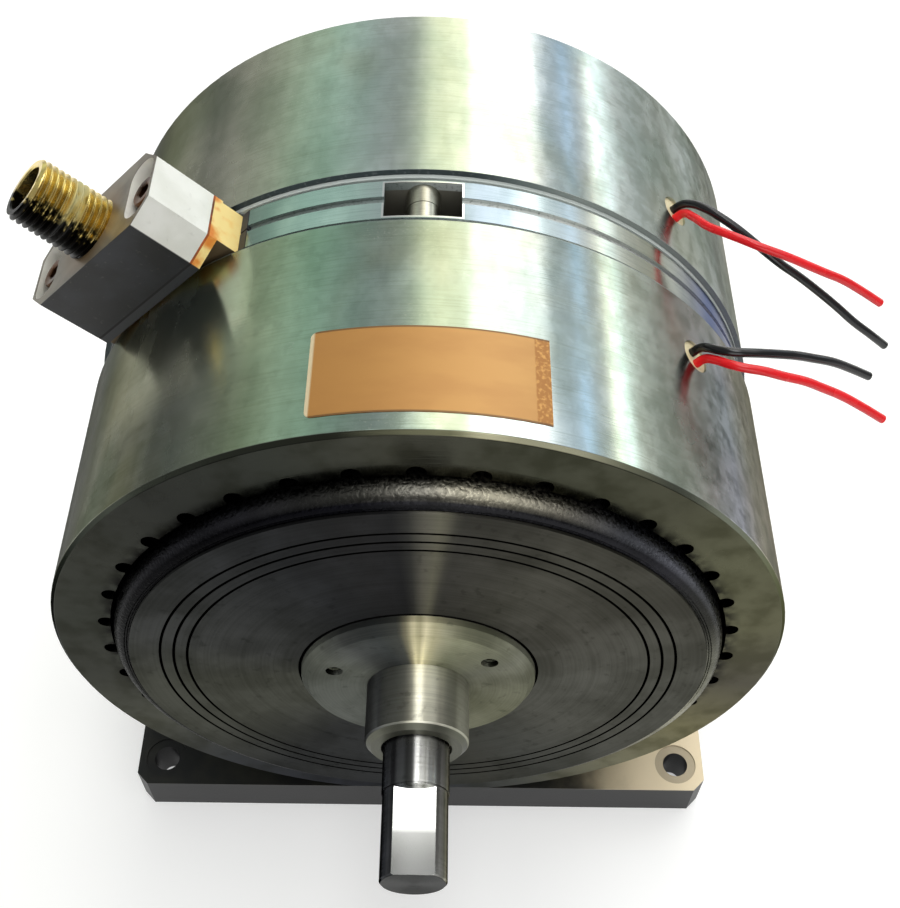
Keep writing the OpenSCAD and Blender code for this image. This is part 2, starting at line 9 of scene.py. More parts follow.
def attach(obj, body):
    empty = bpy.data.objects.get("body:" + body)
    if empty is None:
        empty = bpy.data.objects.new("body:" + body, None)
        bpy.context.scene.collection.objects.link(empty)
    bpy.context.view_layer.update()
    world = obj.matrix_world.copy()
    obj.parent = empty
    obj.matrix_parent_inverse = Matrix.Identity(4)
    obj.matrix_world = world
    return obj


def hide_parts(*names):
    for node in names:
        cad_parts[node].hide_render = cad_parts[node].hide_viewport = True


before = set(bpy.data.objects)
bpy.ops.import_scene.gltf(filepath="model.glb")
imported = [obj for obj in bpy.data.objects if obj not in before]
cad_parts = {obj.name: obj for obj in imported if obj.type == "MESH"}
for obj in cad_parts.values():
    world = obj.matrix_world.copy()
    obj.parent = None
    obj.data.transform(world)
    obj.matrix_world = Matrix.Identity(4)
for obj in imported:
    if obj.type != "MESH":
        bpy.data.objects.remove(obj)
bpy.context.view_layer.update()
print("frame loaded")

mm = 0.001
axisHeight = 89 * mm  # the shaft's centre line over the floor
caseRadius = 79 * mm

camera = {
    "place": (4.72 * mm, -193.85 * mm, 341.22 * mm),
    "azimuth": -0.51,
    "elevation": 53.24,
    "roll": 1.21,
    "lens": 51.25,
    "sensor": 36,
    "near": 0.01,
}


def addObject(name, data):
    made = bpy.data.objects.new(name, data)
    bpy.context.scene.collection.objects.link(made)
    return made


def aimCamera(view):
    turn, lift, roll = (radians(view[key]) for key in ("azimuth", "elevation", "roll"))
    back = Vector((sin(turn) * cos(lift), -cos(turn) * cos(lift), sin(lift)))
    side = Vector((cos(turn), sin(turn), 0))
    right = cos(roll) * side + sin(roll) * back.cross(side)
    up = back.cross(right)
    data = bpy.data.cameras.new("camera")
    data.lens, data.sensor_width, data.sensor_fit = view["lens"], view["sensor"], "HORIZONTAL"
    data.clip_start = view["near"]
    shooter = addObject("camera", data)
    turned = Matrix((right, up, back)).transposed().to_4x4()
    shooter.matrix_world = Matrix.Translation(view["place"]) @ turned
    bpy.context.scene.camera = shooter


leads = {
    "diameter": 1.9 * mm,
    "roundness": 5,
    "steps": 6,  # between two points of a route
    "crease": 50,  # in degrees; the cut ends stay sharp
    "routes": {  # the points of the CAD leads, in millimetres
        "lead_rear_black": [(55.24, 21.9, 144.64), (56.8, 21.9, 146.2), (58.6, 20.8, 147.7),
                            (61.5, 18.4, 148.6), (64.5, 16, 148.4), (68, 13.6, 147.4),
                            (71, 11.8, 146), (74.5, 10, 144), (78, 8.4, 142), (82.5, 7.4, 139.2),
                            (87, 6.5, 136), (92, 5, 132.5), (97, 3.8, 128.5), (101.5, 3.4, 125),
                            (106, 3.6, 121)],
        "lead_rear_red": [(55.64, 19.7, 144.24), (57.2, 19.7, 145.8), (59, 17, 147.3),
                          (61.5, 13, 148.4), (65, 10.2, 149), (68.5, 8.2, 149), (72, 6.5, 148.7),
                          (76, 5.5, 147.8), (79.5, 5, 146.6), (83, 4.8, 145), (87, 4.8, 143),
                          (91.5, 5.2, 140.5), (96.5, 5.5, 137), (102, 5.5, 133)],
        "lead_front_black": [(55.04, -20.6, 144.84), (56.6, -20.6, 146.4), (58, -21.8, 147.8),
                             (60, -23.1, 148.6), (62.5, -23.9, 149), (65.5, -23.9, 148.9),
                             (69, -23.4, 148.2), (72.5, -22.7, 147.2), (76, -21.9, 146),
                             (80, -20.8, 144), (85, -19.6, 141.5), (89.5, -18.6, 138.5),
                             (94.5, -17.7, 135)],
        "lead_front_red": [(55.84, -22.8, 144.04), (57.4, -22.8, 145.6), (59, -24, 146.8),
                           (61.5, -26, 147.8), (64, -27, 148), (68.5, -27.5, 147.5),
                           (72.5, -27.6, 146.2), (77.5, -27.3, 144.3), (81.5, -27, 142),
                           (86, -26.7, 139.3), (91, -26.8, 136), (96.5, -26.9, 132)],
    },
}


def runLead(node, route):  # a smooth curve through the points, turned into a mesh tube
    points = [Vector(point) * mm for point in route]
    data = bpy.data.curves.new(node + "_line", "CURVE")
    data.dimensions = "3D"
    data.bevel_depth, data.bevel_resolution = leads["diameter"] / 2, leads["roundness"]
    data.use_fill_caps = True
    data.resolution_u = leads["steps"]
    spline = data.splines.new("BEZIER")
    spline.bezier_points.add(len(points) - 1)
    for knot, point in zip(spline.bezier_points, points):
        knot.co = point
        knot.handle_left_type = knot.handle_right_type = "AUTO"
    line = addObject(node + "_line", data)
    graph = bpy.context.evaluated_depsgraph_get()
    mesh = bpy.data.meshes.new_from_object(line.evaluated_get(graph))
    bpy.data.objects.remove(line)
    mesh.shade_smooth()
    mesh.set_sharp_from_angle(angle=radians(leads["crease"]))
    wire = addObject(node + "_wire", mesh)
    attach(wire, "housing")
    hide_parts(node)
    return wire


aimCamera(camera)
wires = {node: runLead(node, route) for node, route in leads["routes"].items()}
print("camera set and leads run")


def hexColour(code):  # sRGB hex to the linear colour that Blender's sockets take
    parts = [int(code[i:i + 2], 16) / 255 for i in (0, 2, 4)]
    return [p / 12.92 if p <= 0.04045 else ((p + 0.055) / 1.055) ** 2.4 for p in parts] + [1]


# One node with its settings and links. The inputs are a list in the order of the sockets, or a
# dictionary by number or name.
def addNode(tree, kind, inputs=(), operation=None, stops=(), **settings):
    made = tree.nodes.new("ShaderNode" + kind)
    if operation:
        settings["operation"] = operation
    for name, value in settings.items():
        setattr(made, name, value)
    for i, (place, colour) in enumerate(stops):
        knots = made.color_ramp.elements
        knot = knots[i] if i < 2 else knots.new(place)
        knot.position, knot.color = place, colour
    sockets = [socket for socket in made.inputs if socket.enabled]
    for key, value in inputs.items() if isinstance(inputs, dict) else enumerate(inputs):
        socket = sockets[key] if isinstance(key, int) else made.inputs[key]
        if hasattr(value, "outputs"):
            value = next(output for output in value.outputs if output.enabled)
        if isinstance(value, bpy.types.NodeSocket):
            tree.links.new(value, socket)
        else:
            socket.default_value = hexColour(value) if isinstance(value, str) else value
    return made


looks = {}


def startLook(name):  # an empty material; fillLook gives it its shader
    made = bpy.data.materials.new(name)
    made.use_nodes = True
    made.node_tree.nodes.clear()
    looks[name] = made
    add = partial(addNode, made.node_tree)
    return add, add("TexCoord").outputs["Object"]


def fillLook(add, colour, roughness, height, bumpDepth, **sockets):
    inputs = {key.replace("_", " "): value for key, value in sockets.items()}
    normal = add("Bump", {"Height": height, "Strength": 1, "Distance": bumpDepth})
    inputs.update({"Base Color": colour, "Roughness": roughness, "Normal": normal})
    add("OutputMaterial", {"Surface": add("BsdfPrincipled", inputs)})


def roundShaft(add, place):  # angle, distance and place along the shaft, and the unrolled surface
    parts = add("SeparateXYZ", [place])
    rise = add("Math", [parts.outputs[2], axisHeight], "SUBTRACT")
    angle = add("Math", [parts.outputs[0], rise], "ARCTAN2")
    across = add("CombineXYZ", {0: parts.outputs[0], 2: rise})
    radius = add("VectorMath", [across], "LENGTH").outputs["Value"]
    arc = add("Math", [angle, caseRadius], "MULTIPLY")
    unrolled = add("CombineXYZ", [arc, parts.outputs[1], radius])
    return SimpleNamespace(angle=angle, radius=radius, along=parts.outputs[1], arc=arc,
                           unrolled=unrolled, across=across)


def toolMarks(add, there):  # the way that turned metal smears a reflection: across its tool marks
    side = add("Math", [there.along], "SIGN")
    outward = add("VectorMath", [there.across], "NORMALIZE")
    lengthways = add("CombineXYZ", {1: side})
    way = add("VectorMath", [outward, lengthways], "SUBTRACT")
    return add("VectorTransform", [way], vector_type="VECTOR", convert_from="OBJECT",
               convert_to="WORLD")


def patches(add, place, size, low, high, stretch=(1, 1, 1), detail=4):  # soft blotches, 0 to 1
    spread = add("Mapping", {"Vector": place, "Scale": stretch})
    cloud = add("TexNoise", [spread, 1 / size, detail])
    return add("MapRange", [cloud, low, high], interpolation_type="SMOOTHSTEP")


def between(add, value, *levels):  # 1 between the middle two levels, 0 outside the outer two
    up = add("MapRange", [value, levels[0], levels[1]], interpolation_type="SMOOTHSTEP")
    down = add("MapRange", [value, levels[2], levels[3], 1, 0], interpolation_type="SMOOTHSTEP")
    return add("Math", [up, down], "MULTIPLY")


def shadesRound(add, there, shades):  # a colour for each angle round the shaft, from the top
    turn = add("MapRange", [there.angle, -pi, pi])
    stops = [((angle + 180) / 360, hexColour(code)) for angle, code in shades.items()]
    return add("ValToRGB", [turn], stops=stops)


# One tone laid over another where the mask says; share is a number or a second mask.
def coat(add, under, over, mask, share=1, blending="MIX"):
    if share != 1:
        mask = add("Math", [mask, share], "MULTIPLY")
    return add("Mix", [mask, under, over], data_type="RGBA", blend_type=blending)


plating = {
    "marks": 0.35 * mm,  # pitch of the turning marks; the real ones are finer and wouldn't show
    # where each zone begins and ends to fade: by radius, or by distance along the shaft
    "groove": (77.6 * mm, 77.7 * mm),
    "step": (7.35 * mm, 7.45 * mm),
    "land": (7.1 * mm, 7.2 * mm),
    "bevelAcross": (78.88 * mm, 78.96 * mm),
    "bevelAlong": (57 * mm, 57.1 * mm),
    "mouth": (59.8 * mm, 59.95 * mm),
    "windowWide": 7.85 * mm,  # half sizes of the air ring's windows
    "windowHalf": 4.85 * mm,
    "windowHighlight": (0.3 * mm, 0.5 * mm),  # a painted highlight this far outside the windows
    "floor": (75.7 * mm, 75.85 * mm),  # of the air ring's channels
    "shadedFront": (-34 * mm, -44 * mm),  # painted shade fades in over this, towards the front mouth
    "worn": (10, 45),  # in degrees, towards the right
    "soot": (66.6 * mm, 69.8 * mm),  # black round the notches, fading outwards
    "bore": (76 * mm, 77 * mm),
    "crown": (-32, -20, 30, 42),  # in degrees: the top, which is more polished
    "polish": (0.13, 0.2),
    "duller": 0.1,  # beside the crown
    "flank": (60, 68),  # in degrees: matt from here down
    "matt": 0.4,
    "stepRough": 0.503,
    # painted reflections: the lamps' bright and dark bands by angle, over the plating's tint
    "case": {-110: "4c4e44", -66: "5e6056", -59: "9a9c90", -50: "b2b4a8", -38: "a4aaa4",
             -31: "c2c8b8", -24: "bcc8ae", -15: "a4c0ab", -8: "a4b8ae", -2: "b1c0ba", 3: "ced4c3",
             9: "bfc7ba", 17: "bcc4c2", 23: "d3e1e4", 28: "cad1c1", 34: "c3cbc0", 44: "aeaeac",
             52: "d0d2dc", 60: "e0d8ca", 68: "a49c88", 90: "9c9a88", 110: "96947f"},
    "rear": {-110: "54564c", -66: "6c6c60", -50: "b2b2a0", -38: "aeb0a4", -31: "cfd1c1",
             -24: "bec6b6", -15: "b2c6b8", -8: "d2dedb", -2: "cad4d2", 3: "cdd3c3", 9: "c9d1c0",
             17: "cbd0cd", 23: "cbd7dd", 29: "dde3dd", 36: "d7e3e0", 44: "cad0cb", 52: "eef8f8",
             60: "e0e2dc", 72: "b4b2a4", 90: "9c9a88", 110: "96947f"},
    "mouthShades": {-160: "2e3036", -140: "3e4042", -120: "55564d", -100: "3f403a", -80: "393b35",
                    -60: "383934", -40: "2e2f2c", -20: "32342f", 0: "42423a", 20: "404136",
                    40: "47473a", 60: "595946", 80: "605f4a", 100: "545146", 120: "787457",
                    140: "7c7a65", 160: "4e504b", 178: "34363c"},
    "bevel": {-110: "3a3c38", -60: "3c3e3b", -40: "42463e", -10: "3a3c33", 5: "74745a",
              11: "f4f0c8", 22: "ecebc8", 28: "a4a68c", 36: "666a5e", 50: "6a6e62", 62: "70735f",
              110: "6e6c58"},
    # painted shade near the front end, darkest beside the manifold block
    "nearMouth": {-110: "ffffff", -55: "ffffff", -49: "d8d8d8", -42: "b8b8b8", -34: "cccccc",
                  -26: "e2e2e2", -16: "ffffff", 40: "ffffff", 50: "dcdcdc", 60: "ffffff"},
    "stepShades": {-110: "3c4446", 8: "424b4d", 15: "7a8482", 24: "9aa29e", 40: "858b88",
                   60: "6c7078", 110: "55554f"},
    "grooveShades": {-60: "68746f", -20: "707c78", -5: "848f8c", 6: "c9cecb", 22: "d2d6d2",
                     40: "a6aaa6", 60: "8084a0", 110: "6c6c64"},
    "ring": {-60: "8f8e8b", -38: "a5a7a2", -24: "a9c5bb", -12: "c6ded6", -4: "b8c8c8", 3: "a8b4b8",
             8: "8c98a0", 13: "a0acb2", 18: "dce6e4", 22: "eef4f2", 27: "c4c6bc", 38: "dcdecd",
             48: "a0a3aa", 54: "7d89b1", 61: "b0b5d0", 68: "d4dcd0", 110: "bdc7b2"},
}


# Zinc plating on turned steel, passivated: olive, green and cream stains over a satin metal that
# smears reflections along the case, with painted reflections of the lamps as bands by angle; the
# case mouths are dark with oily grime, painted lighter and darker by angle as light and shade.
def zincCase():
    add, place = startLook("zinc_plated_case")
    there = roundShaft(add, place)
    cloud, shades = partial(patches, add, there.unrolled), partial(shadesRound, add, there)
    behind = add("Math", [there.along, 0], "GREATER_THAN")
    # painted reflections of the lamps: bands by angle, on the front and rear halves
    tone = coat(add, shades(plating["case"]), shades(plating["rear"]), behind)
    stains = cloud(24 * mm, 0.42, 0.62, (1, 0.8, 1), 5)
    tone = coat(add, tone, "d3dbd6", stains, 0.7, "MULTIPLY")
    film = cloud(33 * mm, 0.5, 0.68, (1, 0.6, 1), 3)
    tone = coat(add, tone, "a39f82", film, 0.4)
    marks = cloud(plating["marks"], 0.45, 0.7, (0.03, 1, 1), 3)
    tone = coat(add, tone, "b9bda0", marks, 0.18, "MULTIPLY")
    # the right-hand side is more worn than the left
    rightward = add("MapRange", [there.angle, *map(radians, plating["worn"]), 0.12, 0.34])
    mottle = cloud(3 * mm, 0.4, 0.62, (1, 0.7, 1), 8)
    tone = coat(add, tone, "a0a396", mottle, rightward, "MULTIPLY")
    scuffed = cloud(40 * mm, 0.48, 0.6, (1, 0.6, 1), 2)
    scuffs = cloud(2.6 * mm, 0.5, 0.66, (1, 0.8, 1), 7)
    scuffs = add("Math", [scuffs, scuffed], "MULTIPLY")
    tone = coat(add, tone, "8c8c84", scuffs, rightward, "MULTIPLY")
    dusty = cloud(17 * mm, 0.5, 0.6, detail=3)
    dusty = add("Math", [dusty, 0.35], "MULTIPLY")
    specks = patches(add, place, 0.45 * mm, 0.6, 0.7, detail=2)
    tone = coat(add, tone, "c9cec4", specks, dusty)
    end = add("Math", [there.along], "ABSOLUTE")
    # painted shade near the front end, darkest beside the manifold block
    shadedFront = add("MapRange", [there.along, *plating["shadedFront"]])
    tone = coat(add, tone, shades(plating["nearMouth"]), shadedFront, 1, "MULTIPLY")
    # painted highlight: the chamfer at the ends bright cream at the top right, by angle
    turnedIn = add("MapRange", [there.radius, *plating["bevelAcross"], 1, 0])
    nearEnd = add("MapRange", [end, *plating["bevelAlong"]])
    tone = coat(add, tone, shades(plating["bevel"]), turnedIn, nearEnd)
    # the step down to the air ring: a dark face, painted lighter and darker by angle as light and
    # shade, and the spigot's land in the ring's colour
    onStep = add("MapRange", [end, *plating["step"], 1, 0])
    onLand = add("MapRange", [end, *plating["land"], 1, 0])
    grit = patches(add, place, 0.7 * mm, 0.55, 0.7)
    step = coat(add, shades(plating["stepShades"]), "8a9290", grit, 0.3)
    step = coat(add, step, "c8d0cc", onLand)
    tone = coat(add, tone, step, onStep)
    # painted light and shade: the mouth faces lighter and darker by angle
    onMouth = add("MapRange", [end, *plating["mouth"]])
    smear = patches(add, place, 7 * mm, 0.4, 0.7)
    face = coat(add, shades(plating["mouthShades"]), "a8a894", smear, 0.6, "MULTIPLY")
    nearBore = add("MapRange", [there.radius, *plating["soot"], 1, 0])
    soot = patches(add, place, 3 * mm, 0.35, 0.6, detail=6)
    face = coat(add, face, "0f0e0c", nearBore, soot)
    tone = coat(add, tone, face, onMouth)
    # painted shade: the inside of the bore near black
    inBore = add("MapRange", [there.radius, *plating["bore"], 1, 0])
    notMouth = add("Math", [1, onMouth], "SUBTRACT")
    tone = coat(add, tone, "191815", inBore, notMouth)
    rubbed = cloud(9 * mm, 0.5, 0.62, (1, 0.5, 1), 6)
    rough = add("MapRange", [rubbed, 0, 1, *plating["polish"]])
    crown = between(add, there.angle, *map(radians, plating["crown"]))
    duller = add("MapRange", {0: crown, 3: plating["duller"], 4: 0})
    rough = add("Math", [rough, duller], "ADD")
    aside = add("Math", [there.angle], "ABSOLUTE")
    aside = add("MapRange", [aside, *map(radians, plating["flank"])])
    rough = add("MapRange", {0: aside, 3: rough, 4: plating["matt"]})
    rough = add("Mix", [onStep, rough, plating["stepRough"]])
    metal = add("MapRange", {0: onStep, 3: 1, 4: 0.1})
    # dark plating seen at a slant would go black with the dull edge that the bright flanks have
    edge = coat(add, "7c7c7c", "cbcbcb", onMouth)
    fillLook(add, tone, rough, marks, 0.003 * mm, Metallic=metal, Anisotropic=0.7,
             Specular_Tint=edge, Tangent=toolMarks(add, there))


# Bright zinc on the air ring: bluer and smoother than the case, with painted reflections of the
# lamps by angle, a painted highlight round its windows' edges, and grime in its grooves, which
# are painted lighter and darker by angle as light and shade.
def zincRing():
    add, place = startLook("bright_zinc_ring")
    there = roundShaft(add, place)
    # painted reflections of the lamps: the ring's tone by angle
    tone = shadesRound(add, there, plating["ring"])
    tint = patches(add, there.unrolled, 9 * mm, 0.4, 0.65, (1, 0.5, 1))
    tone = coat(add, tone, "cfd6d6", tint, 0.6, "MULTIPLY")
    marks = patches(add, there.unrolled, plating["marks"], 0.45, 0.7, (0.03, 1, 1), 3)
    tone = coat(add, tone, "b5bbb8", marks, 0.25, "MULTIPLY")
    local = add("Math", [there.angle, pi / 3, -pi / 3], "WRAP")
    sideways = add("Math", [add("Math", [local], "SINE"), there.radius], "MULTIPLY")
    wide = add("Math", [add("Math", [sideways], "ABSOLUTE"), plating["windowWide"]], "SUBTRACT")
    tall = add("Math", [add("Math", [there.along], "ABSOLUTE"), plating["windowHalf"]], "SUBTRACT")
    rim = add("Math", [wide, tall], "MAXIMUM")
    rim = add("MapRange", [rim, *plating["windowHighlight"], 1, 0])
    # painted highlight along the windows' edges
    tone = coat(add, tone, "dfe3e2", rim)
    inGroove = add("MapRange", [there.radius, *plating["groove"], 1, 0])
    grit = patches(add, place, 0.7 * mm, 0.52, 0.7)
    # grit in the grooves, over painted light and shade by angle
    groove = coat(add, shadesRound(add, there, plating["grooveShades"]), "3a4241", grit, 0.5)
    tone = coat(add, tone, groove, inGroove)
    inside = add("MapRange", [there.radius, *plating["floor"], 1, 0])
    tone = coat(add, tone, "77756a", inside)
    matt = add("Math", [inside, inGroove], "MAXIMUM")
    metal = add("MapRange", {0: matt, 3: 1, 4: 0.2})
    rough = add("MapRange", {0: matt, 3: 0.16, 4: 0.6})
    fillLook(add, tone, rough, marks, 0.003 * mm, Metallic=metal, Anisotropic=0.6,
             Specular_Tint="aaaaaa", Tangent=toolMarks(add, there))


# Turned and ground steels: rings a fraction of a millimetre apart, which fan out the reflection
# of a lamp over the face like the gleam on a record. Their tone by angle round the shaft carries
# painted highlights and shade.
def turnedSteel(name, steel):
    add, place = startLook(name)
    there = roundShaft(add, place)
    boss, tip, flat = (steel.get(key) for key in ("boss", "tip", "flat"))
    edge, roughness = steel["edge"], steel["rough"]
    smear = patches(add, place, 12 * mm, 0.35, 0.65, detail=5)
    spots = patches(add, place, 2.2 * mm, 0.6, 0.72)
    # painted light: highlights and shade in the tone by angle round the shaft
    tone = shadesRound(add, there, steel["shades"])
    end = add("Math", [there.along], "ABSOLUTE")
    if boss:
        within = add("MapRange", [there.radius, *boss["radius"], 1, 0])
        beyond = add("MapRange", [end, *boss["start"]])
        onBoss = add("Math", [within, beyond], "MULTIPLY")
        # painted highlight: the boss's own tone by angle, near white over the top
        tone = coat(add, tone, shadesRound(add, there, boss["shades"]), onBoss)
    tone = coat(add, tone, "c4c4be", smear, 0.5, "MULTIPLY")
    tone = coat(add, tone, "8a8a86", spots, 0.3, "MULTIPLY")
    # painted shade: the disc's grooves near black inside
    for radius in steel.get("grooves", ()):
        levels = (radius + reach * mm for reach in (-0.35, -0.25, 0.25, 0.35))
        inGroove = between(add, there.radius, *levels)
        tone = coat(add, tone, "0a0a09", inGroove)
    if tip:
        onTip = add("MapRange", [end, *tip["start"]])
        tone = coat(add, tone, tip["shade"], onTip)
    profile = add("CombineXYZ", [there.radius, there.along])
    rings = add("TexNoise", [profile, 1 / steel["ringPitch"], 2])
    faint = add("MapRange", [rings, 0.35, 0.65, 0, 0.3])
    tone = coat(add, tone, "b4b4ae", faint, 1, "MULTIPLY")
    roughness = add("MapRange", {0: smear, 3: roughness * 0.9, 4: roughness * 1.15})
    if boss:
        roughness = add("Mix", [onBoss, roughness, boss["rough"]])
    if flat:
        height = add("SeparateXYZ", [there.across]).outputs[2]
        above = add("MapRange", [height, *flat["from"]])
        onFlat = add("Math", [above, add("MapRange", [end, *flat["start"]])], "MULTIPLY")
        over = add("MapRange", [height, *flat["to"], 1, 0])
        onFlat = add("Math", [onFlat, over], "MULTIPLY")
        roughness = add("Mix", [onFlat, roughness, flat["rough"]])
        # painted shade: the flat darker grey over its outer part
        paintedShade = add("MapRange", [end, *flat["shadowed"]])
        milled = coat(add, flat["paleTone"], flat["paintedShade"], paintedShade)
        milled = coat(add, milled, "c4c4be", smear, 0.2, "MULTIPLY")
        onFlat = add("Math", [onFlat, onTip], "SUBTRACT", use_clamp=True)
        tone = coat(add, tone, milled, onFlat)
        offFlat = add("MapRange", {0: onFlat, 3: 1, 4: 0})
        rings = add("Math", [rings, offFlat], "MULTIPLY")
    if tip:
        edge = coat(add, edge, "e1e1e1", onTip)
    fillLook(add, tone, roughness, rings, steel["ringDepth"], Metallic=1, Anisotropic=steel["fan"],
             Specular_Tint=edge, Tangent=toolMarks(add, there))


# Even finishes without tool marks: one colour with faint smears and a fine grain.
def evenFinish(name, dark, light, rough, grainDepth, metal=1, grainSize=0.5 * mm):
    add, place = startLook(name)
    smear = patches(add, place, 8 * mm, 0.35, 0.65, detail=5)
    grain = add("TexNoise", [place, 1 / grainSize, 3])
    tone = coat(add, dark, light, smear)
    roughness = add("MapRange", {0: smear, 3: rough * 0.85, 4: rough * 1.2})
    fillLook(add, tone, roughness, grain, grainDepth, Metallic=metal)


foot = {
    "top": (12.4 * mm, 12.8 * mm),
    "paleTone": (38 * mm, 66 * mm),  # where the painted sheen fades in, towards the right
}


# Milled plate, dark, with a painted sheen of pale cream over the right-hand side of its top.
def milledFoot():
    add, place = startLook("milled_foot_steel")
    smear = patches(add, place, 12 * mm, 0.35, 0.65, detail=5)
    tone = coat(add, "272828", "34342f", smear)
    across, _, height = add("SeparateXYZ", [place]).outputs
    drift = add("Math", [smear, 6 * mm], "MULTIPLY")
    drift = add("Math", [drift, across], "ADD")
    # painted sheen: the top pale cream towards the right
    paleTone = add("MapRange", [drift, *foot["paleTone"]], interpolation_type="SMOOTHSTEP")
    onTop = add("MapRange", [height, *foot["top"]])
    tone = coat(add, tone, "d6c7aa", paleTone, onTop)
    upright = add("MapRange", [height, *foot["top"], 1, 0])
    tone = coat(add, tone, "29292a", upright)
    grain = add("TexNoise", [place, 1 / (0.6 * mm), 3])
    fillLook(add, tone, 0.45, grain, 0.02 * mm, Metallic=0.6)


cupBlack = {
    "lip": (64.2 * mm, 65 * mm),  # where the flat face gives way to the rounded edge
    # shades round the shaft, on the rounded edge and on the flat face inside it: painted light and
    # shade, with a painted highlight on the edge at the top right
    "shoulder": {-178: "393939", -120: "45443f", -90: "3c3c3a", -70: "2c2c2f", -50: "1c1c1f",
                 -30: "3a3a3f", -12: "42423e", 2: "5e5c55", 12: "a8a390", 24: "8c887c",
                 36: "707279", 50: "575860", 70: "505153", 90: "807e70", 110: "b0ae9c",
                 130: "8a887c", 160: "45443f", 178: "393939"},
    "face": {-178: "393939", -110: "31322f", -80: "212122", -60: "0f0f11", -40: "0a0a0c",
             -10: "0f0f13", 5: "262628", 30: "232326", 50: "29292d", 70: "343430", 90: "77776b",
             110: "a3a191", 150: "464540", 178: "393939"},
}


# Magnet steel of the rotor cup, blackened: a dark gloss over a pebbled skin, with a painted
# highlight and painted shade by angle.
def magnetSteel():
    add, place = startLook("blackened_magnet_steel")
    there = roundShaft(add, place)
    pebbles = add("TexNoise", [place, 1 / (0.7 * mm), 4])
    smear = patches(add, place, 9 * mm, 0.4, 0.65)
    lip = add("MapRange", [there.radius, *cupBlack["lip"], 1, 0])
    # painted light and shade by angle, with a painted highlight at the top right
    tone = coat(add, shadesRound(add, there, cupBlack["shoulder"]),
                shadesRound(add, there, cupBlack["face"]), lip)
    tone = coat(add, tone, "9a9a94", smear, 0.4, "MULTIPLY")
    rough = add("MapRange", [pebbles, 0.4, 0.6, 0.2, 0.36])
    fillLook(add, tone, rough, pebbles, 0.12 * mm, Metallic=1, Specular_Tint="cbcbcb")


manifold = {
    "angle": -45,  # round the shaft, in degrees from the top
    "blockSide": (10.4 * mm, 10.55 * mm),  # half its width along the shaft
    "side": (10.45 * mm, 10.55 * mm),
    "top": (95.95 * mm, 96.05 * mm),  # distances from the shaft's axis
    "golden": (7.2 * mm, 12 * mm),  # a painted reflection of the brass nipple round it, fading outwards
    "rust": (77.4 * mm, 80.6 * mm),
    "shoulder": (79.3 * mm, 79.5 * mm),  # the adapter is narrower under this
    "neck": (5.4 * mm, 5.45 * mm),
    "sealant": (101.2 * mm, 102.2 * mm, 103.6 * mm, 105 * mm),
    "girth": 6 * mm,  # radius at which the nipple's surface is unrolled
}


def alongSpoke(add, place):  # the manifold's own frame: Z runs out from the shaft, Y along it
    turned = (0, radians(manifold["angle"]), 0)
    spoke = add("Mapping", [place, (0, 0, axisHeight), turned], vector_type="TEXTURE")
    return spoke, add("SeparateXYZ", [spoke]).outputs


# Aluminium block, blasted and clear anodised: near white on its ends, its broad sides painted
# dark as shade, and a brown film on top with a painted reflection of the brass nipple round it.
def blastedBlock():
    add, place = startLook("blasted_aluminium_block")
    spoke, parts = alongSpoke(add, place)
    side = add("Math", [parts[1]], "ABSOLUTE")
    onSide = add("MapRange", [side, *manifold["blockSide"]])
    smear = patches(add, spoke, 9 * mm, 0.35, 0.65, detail=5)
    grit = patches(add, spoke, 1.2 * mm, 0.62, 0.75)
    tone = coat(add, "f7f6ef", "eae9e0", smear)
    # painted shade: the broad sides dark
    shadowed = coat(add, "303134", "262626", smear)
    onTop = add("MapRange", [parts[2], *manifold["top"]])
    film = coat(add, "807a6c", "60594c", smear)
    level = add("CombineXYZ", [parts[0], parts[1]])
    away = add("VectorMath", [level], "LENGTH").outputs["Value"]
    # painted reflection of the brass nipple on the top, fading outwards
    golden = add("MapRange", [away, *manifold["golden"], 1, 0])
    film = coat(add, film, "86683a", golden, 0.5)
    tone = coat(add, tone, film, onTop)
    tone = coat(add, tone, shadowed, onSide)
    tone = coat(add, tone, "8a8578", grit, 0.12)
    grain = add("TexNoise", [place, 1 / (0.35 * mm), 2])
    fillLook(add, tone, 0.45, grain, 0.01 * mm, Metallic=0.35)


# Acetal adapter under the block, cream, with a rust stain that has run from the gasket.
def creamAcetal():
    add, place = startLook("cream_acetal")
    spoke, parts = alongSpoke(add, place)
    stain = patches(add, spoke, 6 * mm, 0.45, 0.7, detail=5)
    edge = add("MapRange", [parts[2], *manifold["rust"]])
    side = add("Math", [parts[1]], "ABSOLUTE")
    tone = coat(add, "fce294", "f4b94e", stain)
    tone = coat(add, tone, "de7a20", stain, edge)
    # its long sides are black with oil and painted shade, and what stands under the block is
    # painted brown in the corners as shadow
    onSide = add("MapRange", [side, *manifold["side"]])
    tone = coat(add, tone, "2a2b2d", onSide)
    under = add("MapRange", [parts[2], *manifold["shoulder"], 1, 0])
    flank = add("MapRange", [side, *manifold["neck"]])
    tone = coat(add, tone, "5a4b32", under, flank)
    grain = add("TexNoise", [place, 1 / (0.5 * mm), 3])
    fillLook(add, tone, 0.5, grain, 0.01 * mm)


# Fibre gasket between block and adapter: soaked brown, with rust bleeding out at its ends.
def fibreGasket():
    add, place = startLook("pressed_fibre_gasket")
    spoke, parts = alongSpoke(add, place)
    side = add("Math", [parts[1]], "ABSOLUTE")
    rust = patches(add, spoke, 4 * mm, 0.4, 0.6, detail=5)
    tone = coat(add, "6a3a1c", "b5581c", rust)
    onSide = add("MapRange", [side, *manifold["side"]])
    tone = coat(add, tone, "141312", onSide)
    fibres = add("TexNoise", [place, 1 / (0.4 * mm), 3])
    fillLook(add, tone, 0.8, fibres, 0.02 * mm)
